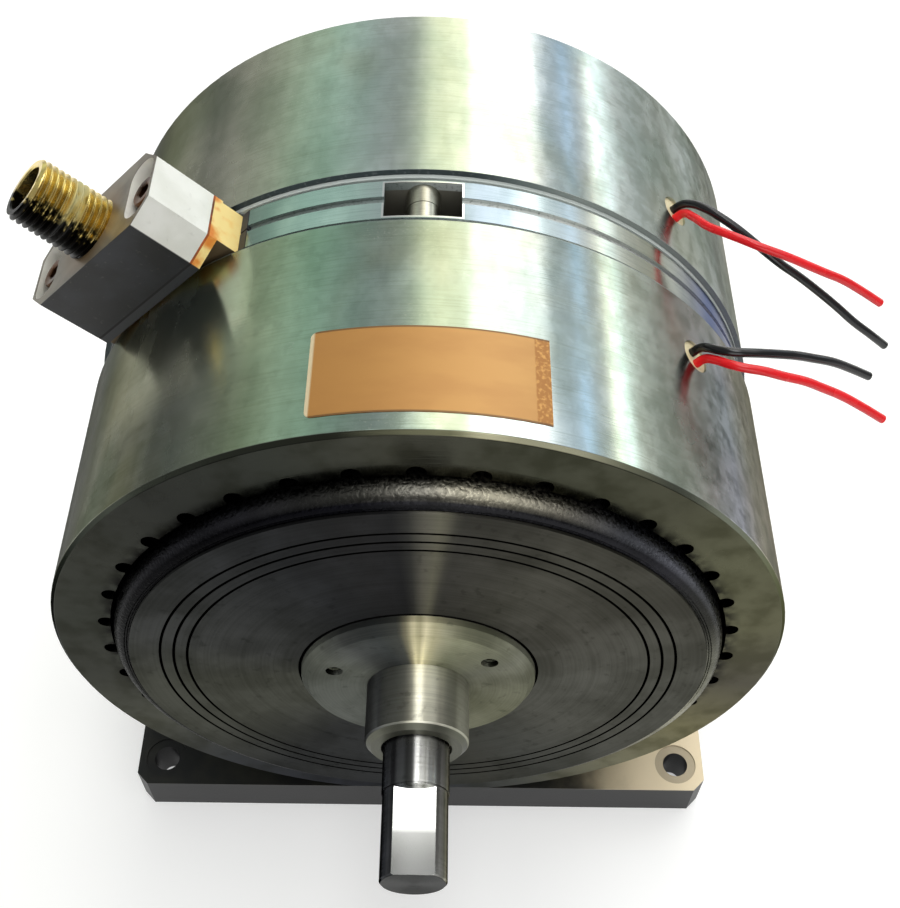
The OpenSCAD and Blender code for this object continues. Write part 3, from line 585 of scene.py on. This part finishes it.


# Old brass with sealant on it: golden where it is rubbed, black in front and underneath with
# grime and painted shade.
def grimyShadedBrass():
    add, place = startLook("grimy_shaded_brass")
    spoke, parts = alongSpoke(add, place)
    under = add("Math", [parts[0], parts[1]], "ADD")
    low = add("MapRange", [under, -6 * mm, 4 * mm, 1, 0])
    turn = add("Math", [parts[0], parts[1]], "ARCTAN2")
    girth = add("Math", [turn, manifold["girth"]], "MULTIPLY")
    unrolled = add("CombineXYZ", [girth, parts[2]])
    uneven = patches(add, spoke, 1.4 * mm, 0.3, 0.7, detail=6)
    uneven = add("Math", [uneven, 0.5], "MULTIPLY")
    # painted shade with grime: black towards the front and underneath
    grimeAndShade = add("Math", [low, uneven], "ADD")
    grimeAndShade = add("MapRange", [grimeAndShade, 0.6, 1.05], interpolation_type="SMOOTHSTEP")
    wear = patches(add, unrolled, 1.2 * mm, 0.35, 0.7, (0.35, 1, 1))
    tone = coat(add, "f0d888", "cab474", wear)
    # pale sealant left in a strip round the middle of the thread
    smeared = patches(add, unrolled, 1.5 * mm, 0.3, 0.55, (0.35, 1, 1), 5)
    middle = between(add, parts[2], *manifold["sealant"])
    sealant = add("Math", [smeared, middle], "MULTIPLY")
    tone = coat(add, tone, "bdb98c", sealant, 0.85)
    tone = coat(add, tone, "0c0a07", grimeAndShade)
    rough = add("MapRange", {0: grimeAndShade, 3: 0.22, 4: 0.45})
    rough = add("MapRange", {0: sealant, 3: rough, 4: 0.6})
    grain = add("TexNoise", [place, 1 / (0.6 * mm), 4])
    metal = add("MapRange", {0: sealant, 3: 1, 4: 0.1})
    fillLook(add, tone, rough, grain, 0.04 * mm, Metallic=metal)


for make in (zincCase, zincRing, magnetSteel, blastedBlock, creamAcetal, fibreGasket, grimyShadedBrass,
             milledFoot):
    make()

discSteel = {  # faced in a lathe: grey, with a broad soft gleam and painted light above the hub
    "rough": 0.45,
    "edge": "aaaaaa",
    "ringPitch": 0.5 * mm,
    "ringDepth": 0.012 * mm,
    "fan": 0.85,
    "grooves": (25.75 * mm, 49.75 * mm, 52.6 * mm, 55.45 * mm),
    "shades": {-172: "3f4041", -145: "424343", -118: "5c5d56", -95: "5c5d56", -75: "505150",
               -50: "3d3e3e", -30: "3a3b3d", -12: "343435", -4: "2e2e2f", -1.5: "3c3c3a",
               2: "66645b", 4.5: "6e6c5e", 7.5: "454440", 14: "484742", 30: "54534c", 60: "575650",
               90: "666660", 125: "62625c", 150: "555652", 165: "4a4a45", 178: "414341"},
}
hubSteel = {  # fine turned: paler and yellower, with a narrow gleam painted into its tone by angle
    "rough": 0.5,
    "edge": "aaaaaa",
    "ringPitch": 0.4 * mm,
    "ringDepth": 0.003 * mm,
    "fan": 0.88,
    "shades": {-160: "6e716d", -60: "747770", -38: "5d5f5e", -20: "5c6060", -9: "62645f",
               -5: "aaa488", -2: "f4ecc6", 1: "c0b996", 4: "f6eeca", 8: "cfc9a6", 14: "bcba9e",
               24: "a6a88e", 60: "86877a", 90: "8a8b79", 120: "858672", 150: "888976",
               178: "74756a"},
    "tip": {"start": (81.7 * mm, 81.78 * mm), "shade": "626359"},
    "boss": {"radius": (11.05 * mm, 11.1 * mm), "start": (68.62 * mm, 68.7 * mm), "rough": 0.38,
             "shades": {-110: "303132", -60: "4c4d4e", -46: "6e7072", -34: "a0a29c", -22: "b4b6ac",
                        -14: "c4c4b6", -7: "eeecd8", 0: "fffdec", 20: "fffdec", 29: "fffdec",
                        36: "d4d4c4", 46: "acac9c", 60: "a8a89a", 80: "b0b0a0", 178: "606160"}},
}
shaftSteel = {  # ground: near a mirror with painted bright streaks, and a bright milled flat on each end
    "rough": 0.28,
    "edge": "3f3f3f",
    "ringPitch": 0.3 * mm,
    "ringDepth": 0.001 * mm,
    "fan": 0.85,
    "shades": {-178: "606163", -78: "4c4d50", -68: "66676a", -54: "434447", -38: "434447",
               -31: "808285", -22: "86888a", -15: "606160", -7: "7f807e", 0: "d8d8d6", 9: "f0f0ec",
               17: "b8b8b2", 22: "dcdcd8", 27: "f4f4ee", 33: "d6d6d2", 40: "8c8c8a", 52: "706f6d",
               62: "76766f", 70: "b0aea2", 100: "8c8a80", 178: "606163"},
    "tip": {"start": (110.9 * mm, 110.98 * mm), "shade": "242524"},
    "flat": {"from": (5.2 * mm, 5.25 * mm), "to": (5.35 * mm, 5.4 * mm),
             "start": (93 * mm, 93.1 * mm), "shadowed": (101.5 * mm, 102.7 * mm),
             "rough": 0.08, "paleTone": "e4e5e3", "paintedShade": "a8a9a7"},
}
spacerSteel = {  # turned bright bar
    "rough": 0.3,
    "edge": "aaaaaa",
    "ringPitch": 0.3 * mm,
    "ringDepth": 0.004 * mm,
    "fan": 0.3,
    "shades": {-178: "cfccbd", 178: "cfccbd"},
}
for finish, steel in (("faced_disc_steel", discSteel), ("turned_hub_steel", hubSteel),
                      ("ground_shaft_steel", shaftSteel), ("turned_spacer", spacerSteel)):
    turnedSteel(finish, steel)

evenFinishes = {  # darker and lighter tone, roughness, the grain's depth, metallic, its size
    "black_oxide_screw": ("2e221b", "6e4c34", 0.35, 0.02 * mm),  # black gone rusty
    "oiled_hub_screw": ("22231d", "55574a", 0.35, 0.02 * mm),  # dark, olive with oil
    "core_iron": ("4f504e", "626360", 0.45, 0.005 * mm),  # soft iron, a dull grey
    "enamelled_copper": ("8f4f22", "b06b34", 0.35, 0.005 * mm),  # amber varnish
    "ground_bearing_steel": ("a5a7a9", "bbbdbf", 0.15, 0.005 * mm),  # near a mirror
    "pressed_brass_cage": ("a07f3f", "b8944f", 0.3, 0.005 * mm),  # satin yellow
    "blued_spring_steel": ("26272b", "35363b", 0.35, 0.005 * mm),  # blue-black
    "bare_stud_steel": ("6f7072", "86878a", 0.35, 0.005 * mm),  # drawn bar, satin
    "seal_rubber": ("26272a", "3c3d42", 0.6, 0.01 * mm, 0),  # matt black, dusty
    "cast_resin": ("d2c290", "e8dbb2", 0.35, 0.08 * mm, 0, 1.2 * mm),  # glossy cream, uneven
    "moulded_nylon": ("202023", "2a2a2e", 0.5, 0.01 * mm, 0),  # black, soft sheen
    "red_lead_insulation": ("e4101a", "f01a22", 0.25, 0.01 * mm, 0, 2 * mm),  # glossy extruded
    "black_lead_insulation": ("0c0c0e", "161619", 0.22, 0.01 * mm, 0, 2 * mm),  # the same, black
}
for finish, values in evenFinishes.items():
    evenFinish(finish, *values)

finishOf = {
    "milled_foot_steel": ["foot_plate"],
    "zinc_plated_case": ["case_front", "case_rear"],
    "bright_zinc_ring": ["plenum_front", "plenum_rear"],
    "bare_stud_steel": ["tie_studs"],
    "turned_spacer": ["tie_spacers"],
    "core_iron": ["core_front", "core_rear"],
    "black_oxide_screw": ["foot_screws", "core_screws", "manifold_screws"],
    "oiled_hub_screw": ["hub_screws"],
    "moulded_nylon": ["bobbin_front", "bobbin_rear"],
    "enamelled_copper": ["winding_front", "winding_rear"],
    "ground_bearing_steel": ["bearing_outer_front", "bearing_outer_rear", "bearing_inner_front",
                             "bearing_inner_rear", "balls_front", "balls_rear"],
    "pressed_brass_cage": ["cage_front", "cage_rear"],
    "blued_spring_steel": ["circlips"],
    "ground_shaft_steel": ["shaft"],
    "blackened_magnet_steel": ["cup_front", "cup_rear"],
    "faced_disc_steel": ["disc_front", "disc_rear"],
    "turned_hub_steel": ["hub_front", "hub_rear"],
    "blasted_aluminium_block": ["manifold_block"],
    "pressed_fibre_gasket": ["manifold_gasket"],
    "cream_acetal": ["manifold_adapter"],
    "seal_rubber": ["port_seals"],
    "grimy_shaded_brass": ["air_nipple"],
    "cast_resin": ["potting_front", "potting_rear"],
}
for finish, nodes in finishOf.items():
    for node in nodes:
        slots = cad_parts[node].data.materials
        slots.clear()
        slots.append(looks[finish])
for node, wire in wires.items():
    colour = node.split("_")[-1]
    wire.data.materials.append(looks[colour + "_lead_insulation"])
print("finishes made and put on")


def spokeFrame(angle):  # Z runs out from the shaft at this angle from the top, Y along the shaft
    return Matrix.Translation((0, 0, axisHeight)) @ Matrix.Rotation(radians(angle), 4, "Y")


weld = 0.002 * mm  # points closer than this are one
crease = 32  # in degrees; sharper edges stay sharp


def makePiece(shape, name, body, finish, slot=None, *nodes):  # nodes: the CAD nodes it stands for
    bmesh.ops.remove_doubles(shape, verts=shape.verts, dist=weld)
    bmesh.ops.recalc_face_normals(shape, faces=shape.faces)
    for face in shape.faces:
        face.smooth = True
    mesh = bpy.data.meshes.new(name)
    shape.to_mesh(mesh)
    shape.free()
    mesh.set_sharp_from_angle(angle=radians(crease))
    mesh.materials.append(looks[finish])
    piece = addObject(name, mesh)
    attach(piece, body)
    if nodes:
        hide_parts(*nodes)


rim = {
    "outer": 65.7 * mm,
    "inner": 63.4 * mm,
    "shoulder": [2.6 * mm, 4.4 * mm],  # the rounded edge, across and along the shaft
    "steps": 10,
    "lip": 64.6 * mm,  # distances along the shaft
    "back": 61.4 * mm,
    "inside": 59.2 * mm,
    "end": 34 * mm,
    "discFit": 62.1 * mm,
    "seat": 60 * mm,
    "lines": [62.45 * mm, 62.95 * mm],  # turned lines beside the disc
    "lineHalf": 0.14 * mm,  # half as wide, and as deep
    "round": 240,
}


def turnRims(sizes):  # the rotor cups, with the rounded shoulder of the real ones
    shape = bmesh.new()
    lip, (wide, long) = sizes["lip"], sizes["shoulder"]
    section = [(sizes["outer"], sizes["end"])]
    for step in range(sizes["steps"] + 1):
        turn = pi / 2 * step / sizes["steps"]
        section.append((sizes["outer"] - wide * (1 - cos(turn)), lip - long * (1 - sin(turn))))
    half = sizes["lineHalf"]
    for line in reversed(sizes["lines"]):
        section += [(line + half, lip), (line, lip - half), (line - half, lip)]
    section += [(sizes["discFit"], lip), (sizes["discFit"], sizes["back"]),
                (sizes["seat"], sizes["back"]), (sizes["seat"], sizes["inside"]),
                (sizes["inner"], sizes["inside"]), (sizes["inner"], sizes["end"])]
    verts = [shape.verts.new((radius, -along, 0)) for radius, along in section]
    edges = [shape.edges.new(pair) for pair in zip(verts, verts[1:] + verts[:1])]
    bmesh.ops.spin(shape, geom=verts + edges, cent=(0, 0, 0), axis=(0, 1, 0), angle=tau,
                   steps=sizes["round"], use_merge=True)
    bmesh.ops.mirror(shape, geom=shape.verts[:] + shape.edges[:] + shape.faces[:], axis="Y",
                     merge_dist=-1)
    bmesh.ops.translate(shape, verts=shape.verts, vec=(0, 0, axisHeight))
    makePiece(shape, "rotor_cups", "rotor", "blackened_magnet_steel", "rotor_rim", "cup_front",
              "cup_rear")


turnRims(rim)
print("rotor rims turned")

nipple = {
    "seat": 88.1 * mm,  # distances from the shaft's axis
    "face": 96.1 * mm,
    "tip": 111.9 * mm,
    "crest": 7.15 * mm,  # over the grime that fills the thread
    "taper": 1 / 60,
    "tipRadius": 6.3 * mm,
    "bore": 4.9 * mm,
    "mouthChamfer": 0.3 * mm,
    "pitch": 1.41 * mm,
    "depth": 0.95 * mm,
    # one tooth: shares of the pitch, and of the depth
    "tooth": [(0.06, 0), (0.42, 1), (0.58, 1), (0.94, 0), (1.06, 0)],
    "steps": 48,
}


def cutNipple(sizes):
    shape = bmesh.new()
    pitch, root = sizes["pitch"], sizes["crest"] - sizes["depth"]
    start = sizes["seat"] - 2 * pitch
    turns = ceil((sizes["tip"] - start) / pitch) + 1
    chain = [shape.verts.new((root + rise * sizes["depth"], 0, start + share * pitch))
             for share, rise in sizes["tooth"]]
    edges = [shape.edges.new(pair) for pair in zip(chain, chain[1:])]
    bmesh.ops.spin(shape, geom=chain + edges, cent=(0, 0, 0), axis=(0, 0, 1),
                   dvec=(0, 0, pitch / sizes["steps"]), angle=tau * turns,
                   steps=sizes["steps"] * turns)
    bmesh.ops.remove_doubles(shape, verts=shape.verts, dist=0.01 * mm)
    for plane, way in ((sizes["tip"], 1), (sizes["seat"], -1)):
        everything = shape.verts[:] + shape.edges[:] + shape.faces[:]
        bmesh.ops.bisect_plane(shape, geom=everything, plane_co=(0, 0, plane),
                               plane_no=(0, 0, way), clear_outer=True)

    def setRadius(vert, radius):
        vert.co.xy = vert.co.xy.normalized() * radius

    for vert in shape.verts:
        taper = 1 - (vert.co.z - sizes["face"]) * sizes["taper"] / sizes["crest"]
        chamfered = sizes["tipRadius"] + sizes["tip"] - vert.co.z
        setRadius(vert, min(vert.co.xy.length * min(taper, 1), chamfered))
    edges = [edge for edge in shape.edges if edge.is_boundary
             and edge.verts[0].co.z > sizes["tip"] - 0.01 * mm]
    chamfer = sizes["mouthChamfer"]
    for radius, height in ((sizes["bore"] + chamfer, sizes["tip"]),
                           (sizes["bore"], sizes["tip"] - chamfer),
                           (sizes["bore"], sizes["seat"])):
        grown = bmesh.ops.extrude_edge_only(shape, edges=edges)["geom"]
        edges = [item for item in grown if isinstance(item, bmesh.types.BMEdge)
                 and item.is_boundary]
        for vert in (item for item in grown if isinstance(item, bmesh.types.BMVert)):
            setRadius(vert, radius)
            vert.co.z = height
    bmesh.ops.bridge_loops(shape, edges=[edge for edge in shape.edges if edge.is_boundary])
    bmesh.ops.transform(shape, matrix=spokeFrame(manifold["angle"]), verts=shape.verts)
    makePiece(shape, "threaded_nipple", "housing", "grimy_shaded_brass", "brass_nipple", "air_nipple")


cutNipple(nipple)
print("nipple cut")

socketScrews = {
    "corners": 72,
    "chamfer": 0.35 * mm,
    "rim": 0.25 * mm,  # the slope round the socket's mouth
    "leadIn": 0.2 * mm,
    "manifold": {"head": 3.5 * mm, "tall": 4 * mm, "shank": 2 * mm, "deep": 16.7 * mm,
                 "hex": 1.75 * mm, "socket": 2.2 * mm, "knurl": 0.1 * mm,
                 "across": (-16.4 * mm, 16.4 * mm), "seat": 91.1 * mm},
    "hub": {"head": 1.83 * mm, "tall": 1.6 * mm, "shank": 1.25 * mm, "deep": 3.9 * mm,
            "hex": 0.95 * mm, "socket": 1 * mm, "knurl": 0,
            "angles": (-68, 52, 172), "circle": 19.1 * mm, "seat": 66.1 * mm},
}


def addScrew(shape, sizes, matrix):  # its seat at the origin, its head towards +Z
    corners, chamfer = socketScrews["corners"], socketScrews["chamfer"]
    head, tall, socketWide = sizes["head"], sizes["tall"], sizes["hex"]
    ring = bmesh.ops.create_circle(shape, segments=corners, radius=sizes["shank"], cap_ends=True)
    verts = set(ring["verts"])
    bmesh.ops.translate(shape, verts=ring["verts"], vec=(0, 0, -sizes["deep"]))
    face = ring["verts"][0].link_faces[0]
    steps = [(sizes["shank"], 0), (head, 0), (head, tall - chamfer), (head - chamfer, tall),
             (socketWide + socketScrews["rim"], tall), ("hex", tall - socketScrews["leadIn"]),
             ("hex", tall - sizes["socket"])]
    for stage, (radius, height) in enumerate(steps):
        grown = bmesh.ops.extrude_face_region(shape, geom=[face])["geom"]
        if stage:
            bmesh.ops.delete(shape, geom=[face], context="FACES_ONLY")
        face = next(item for item in grown if isinstance(item, bmesh.types.BMFace))
        verts.update(face.verts)
        for vert in face.verts:
            angle = Vector((1, 0)).angle_signed(vert.co.xy)
            reach = radius
            if radius == "hex":
                reach = socketWide * cos(pi / 6) / cos((angle % (pi / 3)) - pi / 6)
            elif stage in (1, 2) and round(angle / tau * corners) % 2:
                reach = radius - sizes["knurl"]
            vert.co.xy = vert.co.xy.normalized() * reach
            vert.co.z = height
    bmesh.ops.transform(shape, matrix=matrix, verts=list(verts))


shape = bmesh.new()
sizes = socketScrews["manifold"]
for across in sizes["across"]:
    addScrew(shape, sizes, spokeFrame(manifold["angle"])
             @ Matrix.Translation((across, 0, sizes["seat"])))
makePiece(shape, "manifold_cap_screws", "housing", "black_oxide_screw", "black_screw",
          "manifold_screws")
shape = bmesh.new()
sizes = socketScrews["hub"]
for angle in sizes["angles"]:
    for way in (1, -1):
        seat = Matrix.Translation((0, -way * sizes["seat"], sizes["circle"]))
        addScrew(shape, sizes, spokeFrame(angle) @ seat @ Matrix.Rotation(way * pi / 2, 4, "X"))
makePiece(shape, "hub_cap_screws", "rotor", "oiled_hub_screw", "black_screw", "hub_screws")
print("screws made")

label = {
    "from": -14.5,  # angles round the case, in degrees from the top
    "to": 17.7,
    "front": -55.4 * mm,
    "back": -35.3 * mm,
    "lift": 0.005 * mm,  # clear of the case
    "thickness": 0.08 * mm,
    "steps": 20,
    "corner": 1.4 * mm,
    "strip": (21.3 * mm, 21.6 * mm),  # the right end is browner from here
    "outline": (0.95, 0.97),  # shares of the half width
    "leftEnd": (0.012, 0.02),  # shares of the length: the pale left end, a painted reflection
}


def layLabel(sizes):  # a foil strip bent round the case
    shape = bmesh.new()
    inner, outer = caseRadius + sizes["lift"], caseRadius + sizes["thickness"]
    front, back = sizes["front"], sizes["back"]
    corners = [shape.verts.new((0, along, radius)) for radius, along in
               ((inner, front), (inner, back), (outer, back), (outer, front))]
    end = shape.faces.new(corners)
    bmesh.ops.spin(shape, geom=[end] + end.edges[:] + end.verts[:], cent=(0, 0, 0), axis=(0, 1, 0),
                   angle=radians(sizes["to"] - sizes["from"]), steps=sizes["steps"])
    close = 0.001 * mm
    corners = [edge for edge in shape.edges if all(abs(vert.co.x) < close for vert in edge.verts)
               and abs(edge.verts[0].co.y - edge.verts[1].co.y) < close]
    bmesh.ops.bevel(shape, geom=corners, offset=sizes["corner"], segments=5, profile=0.5,
                    affect="EDGES", material=-1)
    bmesh.ops.transform(shape, matrix=spokeFrame(sizes["from"]), verts=shape.verts)
    makePiece(shape, "foil_label", "housing", "copper_foil_label")


# Copper-coloured foil with a matt lacquer: an even warm orange, paler towards the right, with a
# brown line along both edges, a pale left end that is a painted reflection, and a browner strip
# at the right end.
def copperFoil():
    add, place = startLook("copper_foil_label")
    there = roundShaft(add, place)
    share = add("MapRange", [there.arc, radians(label["from"]) * caseRadius,
                             radians(label["to"]) * caseRadius])
    tone = coat(add, "b47f3f", "c29352", share)
    smear = patches(add, there.unrolled, 6 * mm, 0.4, 0.7, (0.4, 1, 1), 5)
    tone = coat(add, tone, "a67239", smear, 0.35)
    strip = add("MapRange", [there.arc, *label["strip"]])
    flecks = patches(add, there.unrolled, 0.8 * mm, 0.45, 0.7)
    tone = coat(add, tone, coat(add, "a06a2a", "c8954c", flecks), strip)
    lane = add("MapRange", [there.along, label["front"], label["back"], -1, 1])
    lane = add("Math", [lane], "ABSOLUTE")
    outline = add("MapRange", [lane, *label["outline"]])
    tone = coat(add, tone, "4e3216", outline, 0.7)
    # painted reflection: a pale line at the left end
    leftEnd = add("MapRange", [share, *label["leftEnd"], 1, 0])
    tone = coat(add, tone, "dcc9a4", leftEnd)
    fillLook(add, tone, 0.4, smear, 0.01 * mm, Metallic=0.3)


copperFoil()
layLabel(label)
print("label laid")

studio = {
    "floorSize": 4,
    "floor": "dcdcda",
    "sunk": 0.05 * mm,
    "footShadow": (75 * mm, 50 * mm),  # a painted shadow, dark under the foot, this far from the middle
    "glow": 0.42,  # added for the camera and in reflections, so that the floor there is white
    # the room behind: brightness and tint by the angle round the shaft, from straight up
    "bands": [(-90, 0.6), (-80, 0.6), (-66, 0.7, "fbfff5"), (-52, 1.0, "f5fff2"),
              (-45, 1.1, "f2fff6"), (-35, 1.0, "f2fff8"), (-24, 0.8, "f4fffa"), (-14, 0.85),
              (-7, 1.2, "fffff2"), (-3, 1.8, "ffffea"), (1, 2.7, "ffffe6"), (14, 3.2, "ffffec"),
              (16, 5), (40, 5), (42, 1.7, "f0faff"), (51, 1.3, "eef8ff"), (52, 2.2, "d4eaff"),
              (55, 2.2, "d4eaff"), (56, 1.2, "f4faff"), (62.5, 1.3), (63.5, 4.6, "fff4dc"),
              (66, 5, "e8fcff"), (70, 4, "e8f4ff"), (71.5, 1.6), (80, 1.1), (90, 1.0, "fffdf6")],
    "brightest": 9,
    "level": 0.57,  # of all the lamps together, so that a colour renders about as written
    "plain": 0.6,
    # how far towards the back a direction points, from -1 to 1: where each light fades in and out
    "behind": (0.34, 0.36),
    "furtherBack": (0.66, 0.78, 2, 3),
    "furtherLevel": 1.9,
    "overhead": (-0.4, -0.35, 0.25, 0.28),
    "overBoss": (0.353, 0.366, 0.48, 0.56),
    "beside": (-0.4, -0.35, 0.33, 0.35),
    "ahead": (-0.75, -0.9),
    "narrow": (-0.35, -0.2, 0.2, 0.35),  # the same, towards the right
    "left": (-30, -10),
    "tube": [-7, -3, 9, 14],  # a lamp overhead, along the shaft: where it fades in and out
    "side": [14, 20, 38, 44],  # a second one beside it, ahead of the lamps behind
    "sideLevel": 2.5,
    "front": 4,  # a low soft lamp ahead of the brake
}


def layFloor():
    add, place = startLook("pale_floor")
    parts = add("SeparateXYZ", [place])
    across, along = (between(add, value, -reach, 1 * mm - reach, reach - 1 * mm, reach)
                     for value, reach in zip(parts.outputs, studio["footShadow"]))
    # painted shadow under the foot, where the floor has no glow
    paintedShade = add("Math", [across, along], "MULTIPLY")
    mat = add("BsdfPrincipled", {"Base Color": coat(add, studio["floor"], "0a0a0a", paintedShade),
                                 "Roughness": 0.8, "Specular IOR Level": 0.1})
    seen = add("LightPath").outputs
    mirrored = add("Math", [seen["Is Glossy Ray"], seen["Is Transmission Ray"]], "MAXIMUM")
    shown = add("Math", [seen["Is Camera Ray"], mirrored], "MAXIMUM")
    clear = add("MapRange", {0: paintedShade, 3: studio["glow"], 4: 0})
    glow = add("Emission", {"Strength": add("Math", [shown, clear], "MULTIPLY")})
    add("OutputMaterial", {"Surface": add("AddShader", [mat, glow])})
    mesh = bpy.data.meshes.new("floor")
    shape = bmesh.new()
    bmesh.ops.create_grid(shape, x_segments=2, y_segments=2, size=studio["floorSize"] / 2)
    bmesh.ops.translate(shape, verts=shape.verts, vec=(0, 0, -studio["sunk"]))
    shape.to_mesh(mesh)
    shape.free()
    mesh.materials.append(looks["pale_floor"])
    addObject("floor", mesh)


def hangLight():  # rows of shaded lamps behind, a tube overhead; the camera sees plain white
    world = bpy.data.worlds.new("studio")
    bpy.context.scene.world = world
    world.use_nodes = True
    world.node_tree.nodes.clear()
    add = partial(addNode, world.node_tree)
    way = add("SeparateXYZ", [add("TexCoord").outputs["Generated"]])
    right, back = way.outputs["X"], way.outputs["Y"]
    turn = add("Math", [right, way.outputs["Z"]], "ARCTAN2")
    turn = add("Math", [turn], "DEGREES")
    spot = add("MapRange", [turn, -90, 90])

    def lampColour(level, tint="ffffff"):
        return [part * level / studio["brightest"] for part in hexColour(tint)[:3]] + [1]

    stops = [((angle + 90) / 180, lampColour(*lamp)) for angle, *lamp in studio["bands"]]
    behind = add("MapRange", [back, *studio["behind"]])
    light = coat(add, lampColour(studio["plain"]), add("ValToRGB", [spot], stops=stops), behind)
    further = between(add, back, *studio["furtherBack"])
    toLeft = add("MapRange", [turn, *studio["left"], 1, 0])
    lift = add("Math", [further, toLeft], "MULTIPLY")
    light = coat(add, light, [studio["furtherLevel"]] * 3 + [1], lift, 0.5, "MULTIPLY")
    overhead = between(add, back, *studio["overhead"])
    overBoss = between(add, back, *studio["overBoss"])
    overhead = add("Math", [overhead, overBoss], "MAXIMUM")
    tube = between(add, turn, *studio["tube"])
    light = coat(add, light, lampColour(studio["brightest"]), overhead, tube)
    beside, aside = between(add, back, *studio["beside"]), between(add, turn, *studio["side"])
    light = coat(add, light, lampColour(studio["sideLevel"]), beside, aside)
    ahead = add("MapRange", [back, *studio["ahead"]])
    narrow = between(add, right, *studio["narrow"])
    light = coat(add, light, lampColour(studio["front"]), ahead, narrow)
    seen = add("LightPath").outputs["Is Camera Ray"]
    light = coat(add, light, lampColour(1 / studio["level"]), seen)
    strength = studio["brightest"] * studio["level"]
    add("OutputWorld", {"Surface": add("Background", {"Color": light, "Strength": strength})})


layFloor()
hangLight()
bpy.context.scene.view_settings.view_transform = "Standard"
print("floor laid and studio lit")
